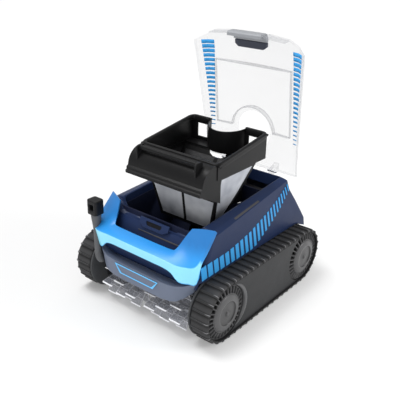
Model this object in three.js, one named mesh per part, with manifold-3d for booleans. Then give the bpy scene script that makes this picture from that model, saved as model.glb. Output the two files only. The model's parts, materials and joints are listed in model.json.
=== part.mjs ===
// Tracked cordless pool cleaner, resting with its clear lid open and its debris canister drawn up.
// Millimetres, +Z up. The front faces -Y, and pieces named right are on +X.
// The origin is on the floor, midway between the tracks and midway between the wheel axles.

import * as THREE from "three";
import { mergeVertices } from "three/addons/utils/BufferGeometryUtils.js";
import Module from "manifold-3d";

const wasm = await Module();
wasm.setup();

// ---------------------------------------------------------------- driving dimensions
const GAP = 0.3; // clearance between pieces that touch

const WHEEL_BASE = 339;
const TRACK_R = 75.7; // over the tread ribs; also the axle height
const TRACK_IN = 166.5; // inner and outer faces of the belt, from the centre plane
const TRACK_OUT = 215;
const BELT_T = 6.6; // belt carcass under the ribs
const RIB_H = 2.2;
const RIB_COUNT = 50;
const WHEEL_R = TRACK_R - RIB_H - BELT_T - 0.6;
const CAP_R = 41;
const CAP_OUT = 218.7;
const FRAME_IN = 158.5; // side frame plate
const FRAME_OUT = 165;
const FRAME_R = 71.5;
const AXLE_R = 5;
const AXLE_IN = 140;

const SHELL_T = 4; // navy body shell wall
const SHELL_LOW = 131;
const DECK_FRONT = [-160, 262]; // the rim climbs from front to rear (y, z)
const DECK_REAR = [172, 284];
const WELL_X = 124; // opening for the canister
const WELL_FRONT = -165;
const WELL_REAR = 164;
const FRONT_WALL_TOP = 240;

const TOWER_Y = 107; // upright pump outlet behind the canister
const TOWER_R = 50;
const TOWER_TOP = 284;

const HINGE_Y = 200; // lid pivot
const HINGE_Z = 274;
const HINGE_X = 77; // middle of each knuckle
const LID_T = 2.5;
const LID_SLOPE = 4.4; // degrees, nose down when shut
const LID_TRAVEL = 88; // degrees from shut to open
const RIB_PLANE = 14.6; // free edge of the lid's sealing rib, above the pivot

const CANISTER_LIFT = 135; // how far the canister stands above its seat at rest
const RIM_FRONT = [-94, 250]; // canister rim (y, z) when seated
const RIM_REAR = [99, 278];
const CAN_X = 118;
const CAN_LOW = 214; // lower edge of the canister's upper walls
const MESH_TOP = 152; // the sieve panels start under the front block
const CAN_FLOOR = 60;
const NOTCH_R = 55;

const BRUSH_Y = -186;
const BRUSH_Z = 53;
const BRUSH_R = 49;
const BRUSH_HALF = 132;
const BRUSH_MID = 9; // half the gap at the centre bracket
const PINION_R = 9.9;
const GEAR_R = 17.9;

const POST = [-147, -228]; // lifting post (x, y)
const POST_R = 10.5;

// ---------------------------------------------------------------- materials
const finish = (color, roughness, metalness = 0, extra = {}) =>
  new THREE.MeshStandardMaterial({ color, roughness, metalness, ...extra });

const navy = finish(0x2c3558, 0.45);
const blue = finish(0x3aa0f0, 0.35);
const stripeBlue = finish(0x3a9be0, 0.4);
const black = finish(0x2b2b2d, 0.5);
const trackGrey = finish(0x3c3e40, 0.75);
const coverGrey = finish(0x444548, 0.55);
const lipGrey = finish(0x6f7389, 0.5);
const postGrey = finish(0x5d5f62, 0.5);
const meshSilver = finish(0xb4bac4, 0.45, 0.4);
const steel = finish(0xb9bcc0, 0.3, 0.9);
const clear = finish(0xeef2f5, 0.08, 0, { transparent: true, opacity: 0.3 });
const clearRubber = finish(0xdfe3ea, 0.3, 0, { transparent: true, opacity: 0.5 });

// ---------------------------------------------------------------- solids
// A closed three.js geometry as a solid; a shape turned inside out by a mirrored axis is turned back.
function solid(geometry) {
  const bare = new THREE.BufferGeometry();
  bare.setAttribute("position", geometry.getAttribute("position"));
  if (geometry.index) bare.setIndex(geometry.index);
  const merged = mergeVertices(bare, 1e-4);
  const points = merged.getAttribute("position");
  const corners = Uint32Array.from(merged.index.array);
  const a = new THREE.Vector3();
  const b = new THREE.Vector3();
  const c = new THREE.Vector3();
  let volume = 0;
  for (let i = 0; i < corners.length; i += 3) {
    a.fromBufferAttribute(points, corners[i]);
    b.fromBufferAttribute(points, corners[i + 1]);
    c.fromBufferAttribute(points, corners[i + 2]);
    volume += a.dot(b.cross(c));
  }
  if (volume < 0) corners.reverse();
  return new wasm.Manifold(
    new wasm.Mesh({ numProp: 3, vertProperties: Float32Array.from(points.array), triVerts: corners }),
  );
}

function geometryOf(shape) {
  const mesh = shape.getMesh();
  const geometry = new THREE.BufferGeometry();
  geometry.setAttribute("position", new THREE.BufferAttribute(Float32Array.from(mesh.vertProperties), 3));
  geometry.setIndex(new THREE.BufferAttribute(Uint32Array.from(mesh.triVerts), 1));
  geometry.computeVertexNormals();
  return geometry;
}

const join = (...shapes) => shapes.flat().reduce((whole, piece) => whole.add(piece));
const cut = (shape, ...tools) => tools.flat().reduce((whole, tool) => whole.subtract(tool), shape);

// An outline extruded along one axis: X takes (y, z) points, Y takes (x, z), Z takes (x, y).
function plate(axis, outline, low, high) {
  const shape = new THREE.Shape(outline.map(([u, v]) => new THREE.Vector2(u, v)));
  const geometry = new THREE.ExtrudeGeometry(shape, { depth: Math.abs(high - low), bevelEnabled: false });
  geometry.translate(0, 0, Math.min(low, high));
  const axes = {
    X: [new THREE.Vector3(0, 1, 0), new THREE.Vector3(0, 0, 1), new THREE.Vector3(1, 0, 0)],
    Y: [new THREE.Vector3(1, 0, 0), new THREE.Vector3(0, 0, 1), new THREE.Vector3(0, 1, 0)],
    Z: [new THREE.Vector3(1, 0, 0), new THREE.Vector3(0, 1, 0), new THREE.Vector3(0, 0, 1)],
  };
  geometry.applyMatrix4(new THREE.Matrix4().makeBasis(...axes[axis]));
  return solid(geometry);
}

function block(x0, x1, y0, y1, z0, z1) {
  const geometry = new THREE.BoxGeometry(Math.abs(x1 - x0), Math.abs(y1 - y0), Math.abs(z1 - z0));
  geometry.translate((x0 + x1) / 2, (y0 + y1) / 2, (z0 + z1) / 2);
  return solid(geometry);
}

function arc(u, v, radius, fromDeg, toDeg, steps) {
  return Array.from({ length: steps + 1 }, (_, i) => {
    const angle = THREE.MathUtils.degToRad(fromDeg + ((toDeg - fromDeg) * i) / steps);
    return [u + radius * Math.cos(angle), v + radius * Math.sin(angle)];
  });
}

const circle = (u, v, radius, steps) => arc(u, v, radius, 0, 360 - 360 / steps, steps - 1);
const rod = (axis, u, v, radius, low, high, steps = 16) =>
  plate(axis, circle(u, v, radius, steps), low, high);

// A profile of (radius, along) points turned about an axis parallel to X through (y, z).
function turnedX(profile, y, z, side, steps = 32) {
  const geometry = new THREE.LatheGeometry(profile.map(([r, x]) => new THREE.Vector2(r, x)), steps);
  geometry.applyMatrix4(
    new THREE.Matrix4().makeBasis(
      new THREE.Vector3(0, 1, 0),
      new THREE.Vector3(side, 0, 0),
      new THREE.Vector3(0, 0, 1),
    ),
  );
  geometry.translate(0, y, z);
  return solid(geometry);
}

// A closed body through rings of equal length, each a list of [x, y, z].
function loft(rings) {
  const size = rings[0].length;
  const positions = rings.flat(2);
  const index = [];
  for (let r = 0; r < rings.length - 1; r += 1) {
    for (let i = 0; i < size; i += 1) {
      const a = r * size + i;
      const b = r * size + ((i + 1) % size);
      index.push(a, b, b + size, a, b + size, a + size);
    }
  }
  // Ends are filled in the flattest of the three coordinate planes.
  const cap = (ring, start, outward) => {
    const normal = new THREE.Vector3();
    const corner = (i) => new THREE.Vector3(...ring[i]);
    ring.forEach((_, i) => normal.add(corner(i).cross(corner((i + 1) % size))));
    const reach = [Math.abs(normal.x), Math.abs(normal.y), Math.abs(normal.z)];
    const dropped = reach.indexOf(Math.max(...reach));
    const flat = ring.map((p) => new THREE.Vector2(...p.filter((_, k) => k !== dropped)));
    const faces = THREE.ShapeUtils.triangulateShape(flat, []);
    const facing = new THREE.Vector3();
    faces.forEach(([i, j, k]) => {
      facing.add(corner(j).sub(corner(i)).cross(corner(k).sub(corner(i))));
    });
    const keep = facing.dot(normal) > 0 === outward;
    faces.forEach(([i, j, k]) => index.push(...(keep ? [i, j, k] : [i, k, j]).map((c) => start + c)));
  };
  cap(rings[0], 0, false);
  cap(rings[rings.length - 1], (rings.length - 1) * size, true);
  const geometry = new THREE.BufferGeometry();
  geometry.setAttribute("position", new THREE.Float32BufferAttribute(positions, 3));
  geometry.setIndex(index);
  return solid(geometry);
}

// A ring that is the same on both sides of the centre plane, from its right-hand (x, z) points.
const mirrorRing = (half, y) => [
  ...half.map(([x, z]) => [x, y, z]),
  ...half.filter(([x]) => x > 0).reverse().map(([x, z]) => [-x, y, z]),
];

const lerp = THREE.MathUtils.lerp;
const between = ([y0, z0], [y1, z1], y) => lerp(z0, z1, (y - y0) / (y1 - y0));
const deckZ = (y) => between(DECK_FRONT, DECK_REAR, y);
const sides = [["left", -1], ["right", 1]];
const axles = [["front", -WHEEL_BASE / 2], ["rear", WHEEL_BASE / 2]];

// Belt-loop outline in (y, z): two half circles about the axles.
const loop = (radius, steps = 14) => [
  ...arc(WHEEL_BASE / 2, TRACK_R, radius, -90, 90, steps),
  ...arc(-WHEEL_BASE / 2, TRACK_R, radius, 90, 270, steps),
];

// ---------------------------------------------------------------- scene graph
const machine = new THREE.Group();
const lid = new THREE.Group();
lid.position.set(0, HINGE_Y, HINGE_Z);
lid.rotation.x = THREE.MathUtils.degToRad(LID_SLOPE - LID_TRAVEL);
const canister = new THREE.Group();
canister.position.z = CANISTER_LIFT;
machine.add(lid, canister);

function add(parent, name, shape, material) {
  const mesh = new THREE.Mesh(geometryOf(shape), material);
  mesh.name = name;
  parent.add(mesh);
}

// ---------------------------------------------------------------- body shell
// Half outlines of the shell, nose to tail: station y, half width low and high, top height, and
// how far the bevel along the rim drops.
const BEVEL_RUN = 22;
const SHELL_STATIONS = [
  [-212, 112, 110, 150, 3],
  [-205, 138, 134, 166, 6],
  [-190, 156, 150, 202, 10],
  [-172, 165, 158, 243, 14],
  [DECK_FRONT[0], 167, 162, DECK_FRONT[1], 16],
  [-9, 169, 154.5, deckZ(-9) + 1, 12],
  [DECK_REAR[0], 170, 145, DECK_REAR[1], 8],
  [178, 170, 147, 250, 8],
  [216, 170, 161, 194, 8],
  [241, 170, 166, 151, 6],
];

function shellSolid(inset, low, drop) {
  return loft(
    SHELL_STATIONS.map(([y, wide, narrow, top, bevel]) => {
      const edge = Math.max(top - drop, low + 4);
      return mirrorRing(
        [
          [wide - inset, low],
          [lerp(wide, narrow, 0.14) - inset, lerp(low, edge, 0.14)],
          [narrow - inset, edge - bevel],
          [narrow - BEVEL_RUN, edge],
        ],
        y,
      );
    }),
  );
}

const trackRoom = sides.map(([, side]) => plate("X", loop(TRACK_R + 2.2), side * 157.6, side * 260));
const shellOuter = shellSolid(0, SHELL_LOW, 0);
const shellInner = cut(
  shellSolid(SHELL_T, SHELL_LOW - 20, SHELL_T + 2),
  block(-200, 200, -260, -206, 100, 300),
  block(-200, 200, 237, 260, 100, 300),
);
const hingeEars = sides.flatMap(([, side]) =>
  [-10.5, 10.5].map((offset) => {
    const ear = [
      [166, 238],
      [190, 238],
      ...arc(HINGE_Y, HINGE_Z, 8, -60, 180, 12),
      [172, 276],
    ];
    const x = side * HINGE_X + offset;
    return plate("X", ear, x - 2, x + 2);
  }),
);
const catchSlot = block(-24, 24, -176, -164, 222, 234);
const bodyShell = cut(
  join(cut(shellOuter, shellInner), hingeEars, block(-124, 124, -173.5, -168, 150, FRONT_WALL_TOP)),
  block(-WELL_X, WELL_X, WELL_FRONT, WELL_REAR, 120, 320),
  block(-WELL_X, WELL_X, -230, WELL_FRONT + 1, FRONT_WALL_TOP, 320),
  trackRoom,
  catchSlot,
  sides.map(([, side]) => rod("X", HINGE_Y, HINGE_Z, 2.8, side * 60, side * 95, 16)),
);

// A long tapered panel let into each flank; it carries the row of slanted blue bars.
const flankOutline = (grow) => [
  [-206 - grow, 156 - grow],
  [-204 - grow, 194 + grow],
  [150 + grow, 281 + grow],
  [155 + grow, 262 - grow],
  [-174, 150 - grow],
];
const skin = (from, to) => cut(shellSolid(from, SHELL_LOW - 1, from), shellSolid(to, SHELL_LOW - 2, to));
const flankPrism = (side, grow) => plate("X", flankOutline(grow), side * 130, side * 200);
const pockets = sides.map(([, side]) => skin(-3, 2).intersect(flankPrism(side, GAP)));
add(machine, "body_shell", cut(bodyShell, pockets), navy);
sides.forEach(([hand, side]) => {
  add(machine, `flank_insert_${hand}`, skin(0, 2 - GAP).intersect(flankPrism(side, 0)), stripeBlue);
});

// ---------------------------------------------------------------- front bumper and carrying handle
const handleBar = [
  [-145, [[-203, 203], [-214, 196], [-215, 158], [-204, 152]]],
  [-127, [[-211, 208], [-243, 197], [-235, 153], [-207, 150]]],
  [-100, [[-214, 212], [-249, 202], [-238, 171], [-215, 184]]],
  [-50, [[-216, 212], [-251, 204], [-240, 175], [-217, 186]]],
];
const handleRings = [...handleBar, ...handleBar.slice().reverse().map(([x, ring]) => [-x, ring])];
const handleArm = (side) =>
  loft(
    [
      [[163, -154.5, 262], [115, -177.6, 259], [117, -173, 251], [161, -150, 253]],
      [[158, -185, 234], [104, -198, 236], [106, -190, 228], [157, -178, 226]],
      [[148, -211, 205], [95, -216, 211], [97, -207, 200], [147, -204, 194]],
    ].map((ring) => ring.map(([x, y, z]) => [side * x, y, z])),
  );
const bumper = cut(
  join(
    loft(handleRings.map(([x, ring]) => ring.map(([y, z]) => [x, y, z]))),
    sides.map(([, side]) => handleArm(side)),
  ),
  shellSolid(-0.5, SHELL_LOW - 2, -0.5),
  rod("Z", POST[0], POST[1], POST_R + 1.5, 90, 300),
);
add(machine, "bumper_handle", bumper, blue);

const lipRings = [
  [-132, [[-216, 127], [-224, 125], [-220, 104], [-213, 106]]],
  [-112, [[-228, 136], [-237, 133], [-234, 90], [-226, 92]]],
  [-76, [[-232, 136.5], [-241.5, 133], [-240.5, 90], [-231, 92]]],
];
const lip = join(
  loft(
    [...lipRings, ...lipRings.slice().reverse().map(([x, ring]) => [-x, ring])].map(([x, ring]) =>
      ring.map(([y, z]) => [x, y, z]),
    ),
  ),
  block(-112, 112, -234, -206.5, 124, 130),
);
add(machine, "lower_bumper", lip, lipGrey);
const badge = plate("Y", [[-70, 131], [70, 131], [54, 108], [-54, 108]], -243.4, -241.9);
add(machine, "badge_plate", badge, lipGrey);

// ---------------------------------------------------------------- lifting post
const [postX, postY] = POST;
const post = join(
  rod("Z", postX, postY, POST_R, 104, 231, 20),
  block(postX + 4, -132.4, postY - 5, postY + 5, 106, 124),
);
add(machine, "lift_post", post, postGrey);
const capBody = plate(
  "Z",
  [[-13, -15], [13, -15], [17, -10], [17, 10], [13, 14], [-13, 14], [-17, 10], [-17, -10]].map(
    ([x, y]) => [postX + x, postY + y],
  ),
  231.3,
  269,
);
const capLoop = block(postX - 7, postX + 7, postY - 20, postY + 20, 243, 258);
add(machine, "lift_post_cap", cut(capBody, capLoop), black);

// ---------------------------------------------------------------- chassis
const TRAY_X = 157.5;
const FLOOR_LOW = 22;
const FLOOR_TOP = 26;
const BRUSH_ROOF = 108;
const chassis = cut(
  join(
    block(-TRAY_X, TRAY_X, -124, 232, FLOOR_LOW, FLOOR_TOP),
    block(-TRAY_X, TRAY_X, -124, -120, FLOOR_LOW, 112),
    block(-TRAY_X, TRAY_X, 228, 232, FLOOR_LOW, 128),
    block(-135, 135, -206, -120, BRUSH_ROOF, 112),
    block(-110, 110, -206, -200, BRUSH_ROOF, 130.6),
    sides.map(([, side]) => block(side * 154, side * TRAY_X, -124, 232, FLOOR_LOW, 128)),
    sides.map(([, side]) => block(side * 134, side * TRAY_X, -170, -120, BRUSH_ROOF, 112)),
    sides.map(([, side]) => block(side * 146.5, side * 151, -200, -120, 44, 112)),
  ),
  block(-60, 60, -46, 6, 10, 28),
  sides.map(([, side]) => rod("X", BRUSH_Y, BRUSH_Z, 4.4, side * 140, side * 155, 16)),
  axles.flatMap(([, y]) =>
    sides.map(([, side]) => rod("X", y, TRACK_R, AXLE_R + 0.5, side * 142, side * 170, 20)),
  ),
);
add(machine, "chassis_tray", chassis, black);

const duct = cut(
  plate("X", [[-40, 26.3], [10, 26.3], [10, 115.8], [-40, 50.2]], -62, 62),
  block(-59, 59, -37.5, 7.5, 20, 150),
);
add(machine, "intake_duct", duct, black);

// Tub under the lid opening that the canister drops into.
const tubOuter = [
  [-164.5, 320], [-164.5, 121.5], [-92.5, 109.5], [-88.5, 47.5],
  [-42.7, 47.5], [77.3, 205.5], [105.5, 205.5], [105.5, 320],
];
const tubInner = [
  [-162, 330], [-162, 124], [-90, 112], [-86, 50], [-44, 50], [76, 208], [103, 208], [103, 330],
];
const tub = cut(
  plate("X", tubOuter, -123.5, 123.5),
  plate("X", tubInner, -121, 121),
  plate("X", [[-300, deckZ(-300) - 22], [300, deckZ(300) - 22], [300, 600], [-300, 600]], -200, 200),
  rod("Z", 0, TOWER_Y, TOWER_R + 0.6, 150, 400, 28),
  block(-55, 55, -10, 70, 122, 184),
  block(-55, 55, -44, -16, 58, 84),
);
add(machine, "canister_tub", tub, navy);

// ---------------------------------------------------------------- pump and outlet tower
add(
  machine,
  "outlet_duct",
  cut(
    rod("Z", 0, TOWER_Y, TOWER_R, 208.4, TOWER_TOP, 28),
    rod("Z", 0, TOWER_Y, TOWER_R - 3.5, 150, 400, 28),
  ),
  black,
);
const pumpDeck = cut(
  block(-123, 123, 106, 163.6, 231, 234),
  rod("Z", 0, TOWER_Y, TOWER_R + 0.4, 200, 260, 28),
);
add(machine, "pump_deck", pumpDeck, black);
const grille = join(
  cut(rod("Z", 0, TOWER_Y, 46.1, 276, 281, 28), rod("Z", 0, TOWER_Y, 42.5, 270, 290, 28)),
  rod("Z", 0, TOWER_Y, 9, 276, 281, 16),
  [0, 60, 120].map((turn) => {
    const angle = THREE.MathUtils.degToRad(turn);
    const [c, s] = [Math.cos(angle), Math.sin(angle)];
    const spoke = [[-44, -1.5], [44, -1.5], [44, 1.5], [-44, 1.5]];
    return plate("Z", spoke.map(([u, v]) => [u * c - v * s, TOWER_Y + u * s + v * c]), 276, 281);
  }),
);
add(machine, "outlet_grille", grille, black);

const blade = (turn) => {
  const geometry = new THREE.BoxGeometry(36, 3, 30);
  geometry.rotateX(THREE.MathUtils.degToRad(50));
  geometry.translate(26, 0, 0);
  geometry.rotateZ(THREE.MathUtils.degToRad(turn));
  geometry.translate(0, TOWER_Y, 234);
  return solid(geometry);
};
const impeller = join(
  [0, 90, 180, 270].map(blade).reduce((a, b) => a.add(b)).intersect(rod("Z", 0, TOWER_Y, 43, 200, 270, 20)),
  rod("Z", 0, TOWER_Y, 12, 222, 246, 16),
  rod("Z", 0, TOWER_Y, 4, 172.6, 230, 16),
);
add(machine, "impeller", impeller, black);
add(machine, "pump_motor", rod("Z", 0, TOWER_Y, 27, 26.3, 172.2, 20), black);

// ---------------------------------------------------------------- sealed electrics on the chassis floor
add(machine, "battery_pack", block(-120, 120, 16, 76, 26.3, 76), black);
add(machine, "control_box", block(40, 122, 84, 140, 26.3, 46), black);
sides.forEach(([hand, side]) => {
  const gearbox = block(side * 112, side * 141.6, WHEEL_BASE / 2 - 24, WHEEL_BASE / 2 + 24, 50, 101);
  const motor = rod("X", WHEEL_BASE / 2, TRACK_R, 20, side * 60, side * 113, 24);
  const bore = rod("X", WHEEL_BASE / 2, TRACK_R, AXLE_R + 0.5, side * 134, side * 150, 20);
  add(machine, `drive_motor_${hand}`, cut(join(gearbox, motor), bore), black);
});

// ---------------------------------------------------------------- tracks
// Point and outward normal on the belt loop, a distance along it from the bottom front tangent.
function onLoop(radius, distance) {
  const bend = Math.PI * TRACK_R;
  const total = 2 * WHEEL_BASE + 2 * bend;
  let d = ((distance % total) + total) % total;
  if (d < WHEEL_BASE) return [-WHEEL_BASE / 2 + d, TRACK_R - radius];
  d -= WHEEL_BASE;
  if (d < bend) {
    const angle = d / TRACK_R - Math.PI / 2;
    return [WHEEL_BASE / 2 + radius * Math.cos(angle), TRACK_R + radius * Math.sin(angle)];
  }
  d -= bend;
  if (d < WHEEL_BASE) return [WHEEL_BASE / 2 - d, TRACK_R + radius];
  const angle = (d - WHEEL_BASE) / TRACK_R + Math.PI / 2;
  return [-WHEEL_BASE / 2 + radius * Math.cos(angle), TRACK_R + radius * Math.sin(angle)];
}
const RIB_FOOT = 6;
const RIB_HEAD = 4;
const pitch = (2 * WHEEL_BASE + 2 * Math.PI * TRACK_R) / RIB_COUNT;
const beltOutline = Array.from({ length: RIB_COUNT }, (_, i) => {
  const middle = (i + 0.5) * pitch;
  return [
    onLoop(TRACK_R - RIB_H, middle - RIB_FOOT / 2),
    onLoop(TRACK_R, middle - RIB_HEAD / 2),
    onLoop(TRACK_R, middle + RIB_HEAD / 2),
    onLoop(TRACK_R - RIB_H, middle + RIB_FOOT / 2),
  ];
}).flat();

const HUB_R = 12;
const WEB = [186, 190];
const wheelProfile = [
  [AXLE_R + GAP, 170], [HUB_R, 170], [HUB_R, WEB[0]], [WHEEL_R - 3, WEB[0]], [WHEEL_R - 3, 168],
  [WHEEL_R, 168], [WHEEL_R, 213], [WHEEL_R - 3, 213], [WHEEL_R - 3, WEB[1]], [HUB_R, WEB[1]],
  [HUB_R, 204], [AXLE_R + GAP, 204], [AXLE_R + GAP, 170],
];
const capProfile = [
  [0, 211.3], [CAP_R, 211.3], [CAP_R, 213.6], [CAP_R - 4, 215.6], [12, 216.4], [9, CAP_OUT], [0, CAP_OUT],
];
const FIN_COUNT = 10;
const fins = (y, side) =>
  Array.from({ length: FIN_COUNT }, (_, i) => {
    const geometry = new THREE.BoxGeometry(18, WHEEL_R - CAP_R - 1, 1.6);
    geometry.translate(side * 199.5, (WHEEL_R + CAP_R - 2.6) / 2, 0);
    geometry.rotateX((i * 2 * Math.PI) / FIN_COUNT);
    geometry.translate(0, y, TRACK_R);
    return solid(geometry);
  });

sides.forEach(([hand, side]) => {
  const belt = cut(
    plate("X", beltOutline, side * TRACK_IN, side * TRACK_OUT),
    plate("X", loop(TRACK_R - RIB_H - BELT_T, 14), side * 160, side * 230),
  );
  add(machine, `track_belt_${hand}`, belt, trackGrey);

  const frame = cut(
    plate("X", loop(FRAME_R), side * FRAME_IN, side * FRAME_OUT),
    axles.map(([, y]) => rod("X", y, TRACK_R, AXLE_R + 0.5, side * 150, side * 170, 20)),
  );
  add(machine, `side_frame_${hand}`, frame, trackGrey);

  const room = WHEEL_R + 2.4;
  const band = 65.6;
  const half = WHEEL_BASE / 2;
  const lipRing = cut(
    rod("X", -half, TRACK_R, room + 6, side * 203, side * 214, 28),
    rod("X", -half, TRACK_R, room, side * 190, side * 220, 28),
    block(side * 180, side * 230, -300, -half, 0, 200),
    block(side * 180, side * 230, -300, 300, TRACK_R + band, 200),
    block(side * 180, side * 230, -300, 300, -20, TRACK_R - band),
  );
  const cover = join(
    cut(
      block(side * 203, side * 211, -half, half, TRACK_R - band, TRACK_R + band),
      axles.map(([, y]) => rod("X", y, TRACK_R, room, side * 190, side * 220, 28)),
    ),
    lipRing,
    [-50, 50].map((y) => rod("X", y, TRACK_R, 8, side * (FRAME_OUT + GAP), side * 206, 16)),
  );
  add(machine, `side_cover_${hand}`, cover, coverGrey);

  axles.forEach(([place, y]) => {
    const wheel = join(turnedX(wheelProfile, y, TRACK_R, side, 20), fins(y, side));
    add(machine, `wheel_${place}_${hand}`, wheel, trackGrey);
    add(machine, `hub_cap_${place}_${hand}`, turnedX(capProfile, y, TRACK_R, side, 20), coverGrey);
    const axle = rod("X", y, TRACK_R, AXLE_R, side * AXLE_IN, side * 204, 20);
    add(machine, `axle_${place}_${hand}`, axle, steel);
  });
});

// ---------------------------------------------------------------- front brush
const shaftEnd = 150.5;
add(machine, "brush_shaft", rod("X", BRUSH_Y, BRUSH_Z, 4, -shaftEnd, shaftEnd, 16), steel);
const PADDLES = 8;
sides.forEach(([hand, side]) => {
  const sleeve = cut(
    join(
      rod("X", BRUSH_Y, BRUSH_Z, 13, side * BRUSH_MID, side * BRUSH_HALF, 20),
      Array.from({ length: PADDLES }, (_, i) => {
        const geometry = new THREE.BoxGeometry(BRUSH_HALF - BRUSH_MID, BRUSH_R - 10, 2.4);
        geometry.translate((side * (BRUSH_HALF + BRUSH_MID)) / 2, (BRUSH_R + 10) / 2, 0);
        geometry.rotateX((i * 2 * Math.PI) / PADDLES);
        geometry.translate(0, BRUSH_Y, BRUSH_Z);
        return solid(geometry);
      }),
    ),
    rod("X", BRUSH_Y, BRUSH_Z, 4.3, side * 2, side * 140, 16),
  );
  add(machine, `brush_sleeve_${hand}`, sleeve, clearRubber);
});
const bracket = cut(
  join(
    rod("X", BRUSH_Y, BRUSH_Z, 10, -5, 5, 20),
    block(-5, 5, BRUSH_Y - 8, BRUSH_Y + 8, BRUSH_Z, BRUSH_ROOF - GAP),
  ),
  rod("X", BRUSH_Y, BRUSH_Z, 4.4, -10, 10, 16),
);
add(machine, "brush_bracket", bracket, black);
const pinion = cut(
  rod("X", BRUSH_Y, BRUSH_Z, PINION_R, 138, 145, 24),
  rod("X", BRUSH_Y, BRUSH_Z, 4.3, 130, 150, 16),
);
add(machine, "brush_pinion", pinion, black);
const driveGear = cut(
  rod("X", -WHEEL_BASE / 2, TRACK_R, GEAR_R, 140.5, 145, 20),
  rod("X", -WHEEL_BASE / 2, TRACK_R, AXLE_R + GAP, 130, 160, 20),
);
add(machine, "brush_drive_gear", driveGear, black);

// ---------------------------------------------------------------- lid, in its own frame
// The pivot is the group's origin, -Y runs to the front and +Z is up when the lid is shut.
const LID_FRONT = 359.5;
const ARCH_Y = TOWER_Y - HINGE_Y;
const lidStations = [
  [-6, 147, -3, [146, 1], [140, 6], [118, 8], 10],
  [24, 149, -6, [147.5, -2], [139, 7], [118, 11], 14],
  [90, 153, -10, [151, -4], [139, 7], [118, 11], 17],
  [200, 160, -15, [158, -8], [139, 8], [118, 13], 21],
  [300, 166, -20, [164, -11], [140, 7], [118, 13], 22],
  [342, 168, -24, [165.5, -14], [140, 5], [118, 9], 15],
  [364, 169, -26, [166, -18], [140, 1], [118, 4], 8],
];
const lidPlan = (inset) => {
  const half = [[0, -LID_FRONT], [60, -358], [113, -353], [167, -325], [147, 5]];
  const [middle, ...right] = half;
  const pull = ([x, y]) => [x - Math.sign(x) * inset, y < -300 ? y + inset * 1.1 : y - inset];
  return [middle, ...right, ...right.slice().reverse().map(([x, y]) => [-x, y])].map(pull);
};
const lidSolid = (inset, drop) =>
  loft(
    lidStations.map(([s, wide, low, a, b, c, top]) =>
      mirrorRing(
        [
          [wide - inset, RIB_PLANE + low - drop],
          [a[0] - inset, RIB_PLANE + a[1] - inset * 0.8],
          [b[0] - inset * 0.5, RIB_PLANE + b[1] - inset],
          [c[0] - inset * 0.3, RIB_PLANE + c[1] - inset],
          [60, RIB_PLANE + lerp(c[1], top, 0.75) - inset],
          [0, RIB_PLANE + top - inset],
        ],
        -s,
      ),
    ),
  ).intersect(plate("Z", lidPlan(inset), -60, 60));
const knuckle = (side) => {
  const x = side * HINGE_X;
  const arm = [...arc(0, 0, 7, 180, 360, 10), [4.5, 20], [-16, 23], [-10, 12]];
  return plate("X", arm, x - 8, x + 8);
};
// Under the front corners the wall stops short, to clear the bevelled rim.
const cornerRelief = [
  [113.5, -100],
  [113.5, RIB_PLANE + 3.2],
  [140, RIB_PLANE + 2.6],
  [163.5, RIB_PLANE - 14],
  [163.5, -100],
];
const latchWindow = block(-53, 53, -370, -337, RIB_PLANE - 45, RIB_PLANE + 9);
const lidShell = cut(
  join(
    cut(
      lidSolid(0, 0),
      lidSolid(LID_T, 20),
      rod("Z", 0, ARCH_Y, TOWER_R + 3, -60, 60, 28),
      latchWindow,
      sides.map(([, side]) => plate("Y", cornerRelief.map(([x, z]) => [side * x, z]), -370, -300)),
    ),
    sides.map(([, side]) => knuckle(side)),
  ),
  sides.map(([, side]) => rod("X", 0, 0, 2.8, side * 60, side * 95, 16)),
);
add(lid, "lid_shell", lidShell, clear);

// Sealing rib under the lid: a rectangle whose rear side arches over the outlet tower.
const RIB_X = 119;
const RIB_ARCH_R = 66;
const ribOutline = (inset) => [
  [-RIB_X + inset, -97 - inset],
  [-RIB_X + inset, -275 + inset],
  [RIB_X - inset, -275 + inset],
  [RIB_X - inset, -97 - inset],
  ...arc(0, ARCH_Y, RIB_ARCH_R + inset, -4 - inset, -176 + inset, 16),
];
const rib = cut(
  plate("Z", ribOutline(0), RIB_PLANE + 1.5, 60),
  plate("Z", ribOutline(2.4), 0, 80),
).intersect(lidSolid(LID_T + GAP, 20));
add(lid, "lid_seal_rib", rib, clear);

sides.forEach(([hand, side]) => {
  const strip = [[141, -75], [145.2, -75], [153, -305], [141, -305]].map(([x, y]) => [side * x, y]);
  const layer = cut(lidSolid(LID_T + GAP, 20), lidSolid(LID_T + 1.4, 20));
  const film = layer.intersect(plate("Z", strip, -40, 60));
  add(lid, `lid_stripe_${hand}`, film, stripeBlue);
  const pin = rod("X", HINGE_Y, HINGE_Z, 2.5, side * 62, side * 92, 16);
  add(machine, `hinge_pin_${hand}`, pin, steel);
});

// Latch: a hooded finger pull in a window of the lid's front wall.
const latchOutline = [
  [-338.5, RIB_PLANE - 2], [-338.5, RIB_PLANE + 6], [-345, RIB_PLANE + 8], [-358, RIB_PLANE + 3],
  [-362, RIB_PLANE - 4], [-363, RIB_PLANE - 26], [-360, RIB_PLANE - 30], [-352, RIB_PLANE - 30],
  [-352, RIB_PLANE - 26], [-357, RIB_PLANE - 24], [-356, RIB_PLANE - 6], [-346, RIB_PLANE - 3],
];
add(lid, "lid_latch", plate("X", latchOutline, -50, 50), postGrey);

// ---------------------------------------------------------------- canister, modelled on its seat
const CAN_T = 2.6;
const CAVITY_TOP = 320;
const upperOutline = [[RIM_FRONT[0], CAN_LOW], [RIM_REAR[0], CAN_LOW], RIM_REAR, RIM_FRONT];
const FLANGE = 4.5;
const flangeOutline = [
  [RIM_FRONT[0], RIM_FRONT[1] - FLANGE], [RIM_REAR[0], RIM_REAR[1] - FLANGE], RIM_REAR, RIM_FRONT,
];
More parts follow.
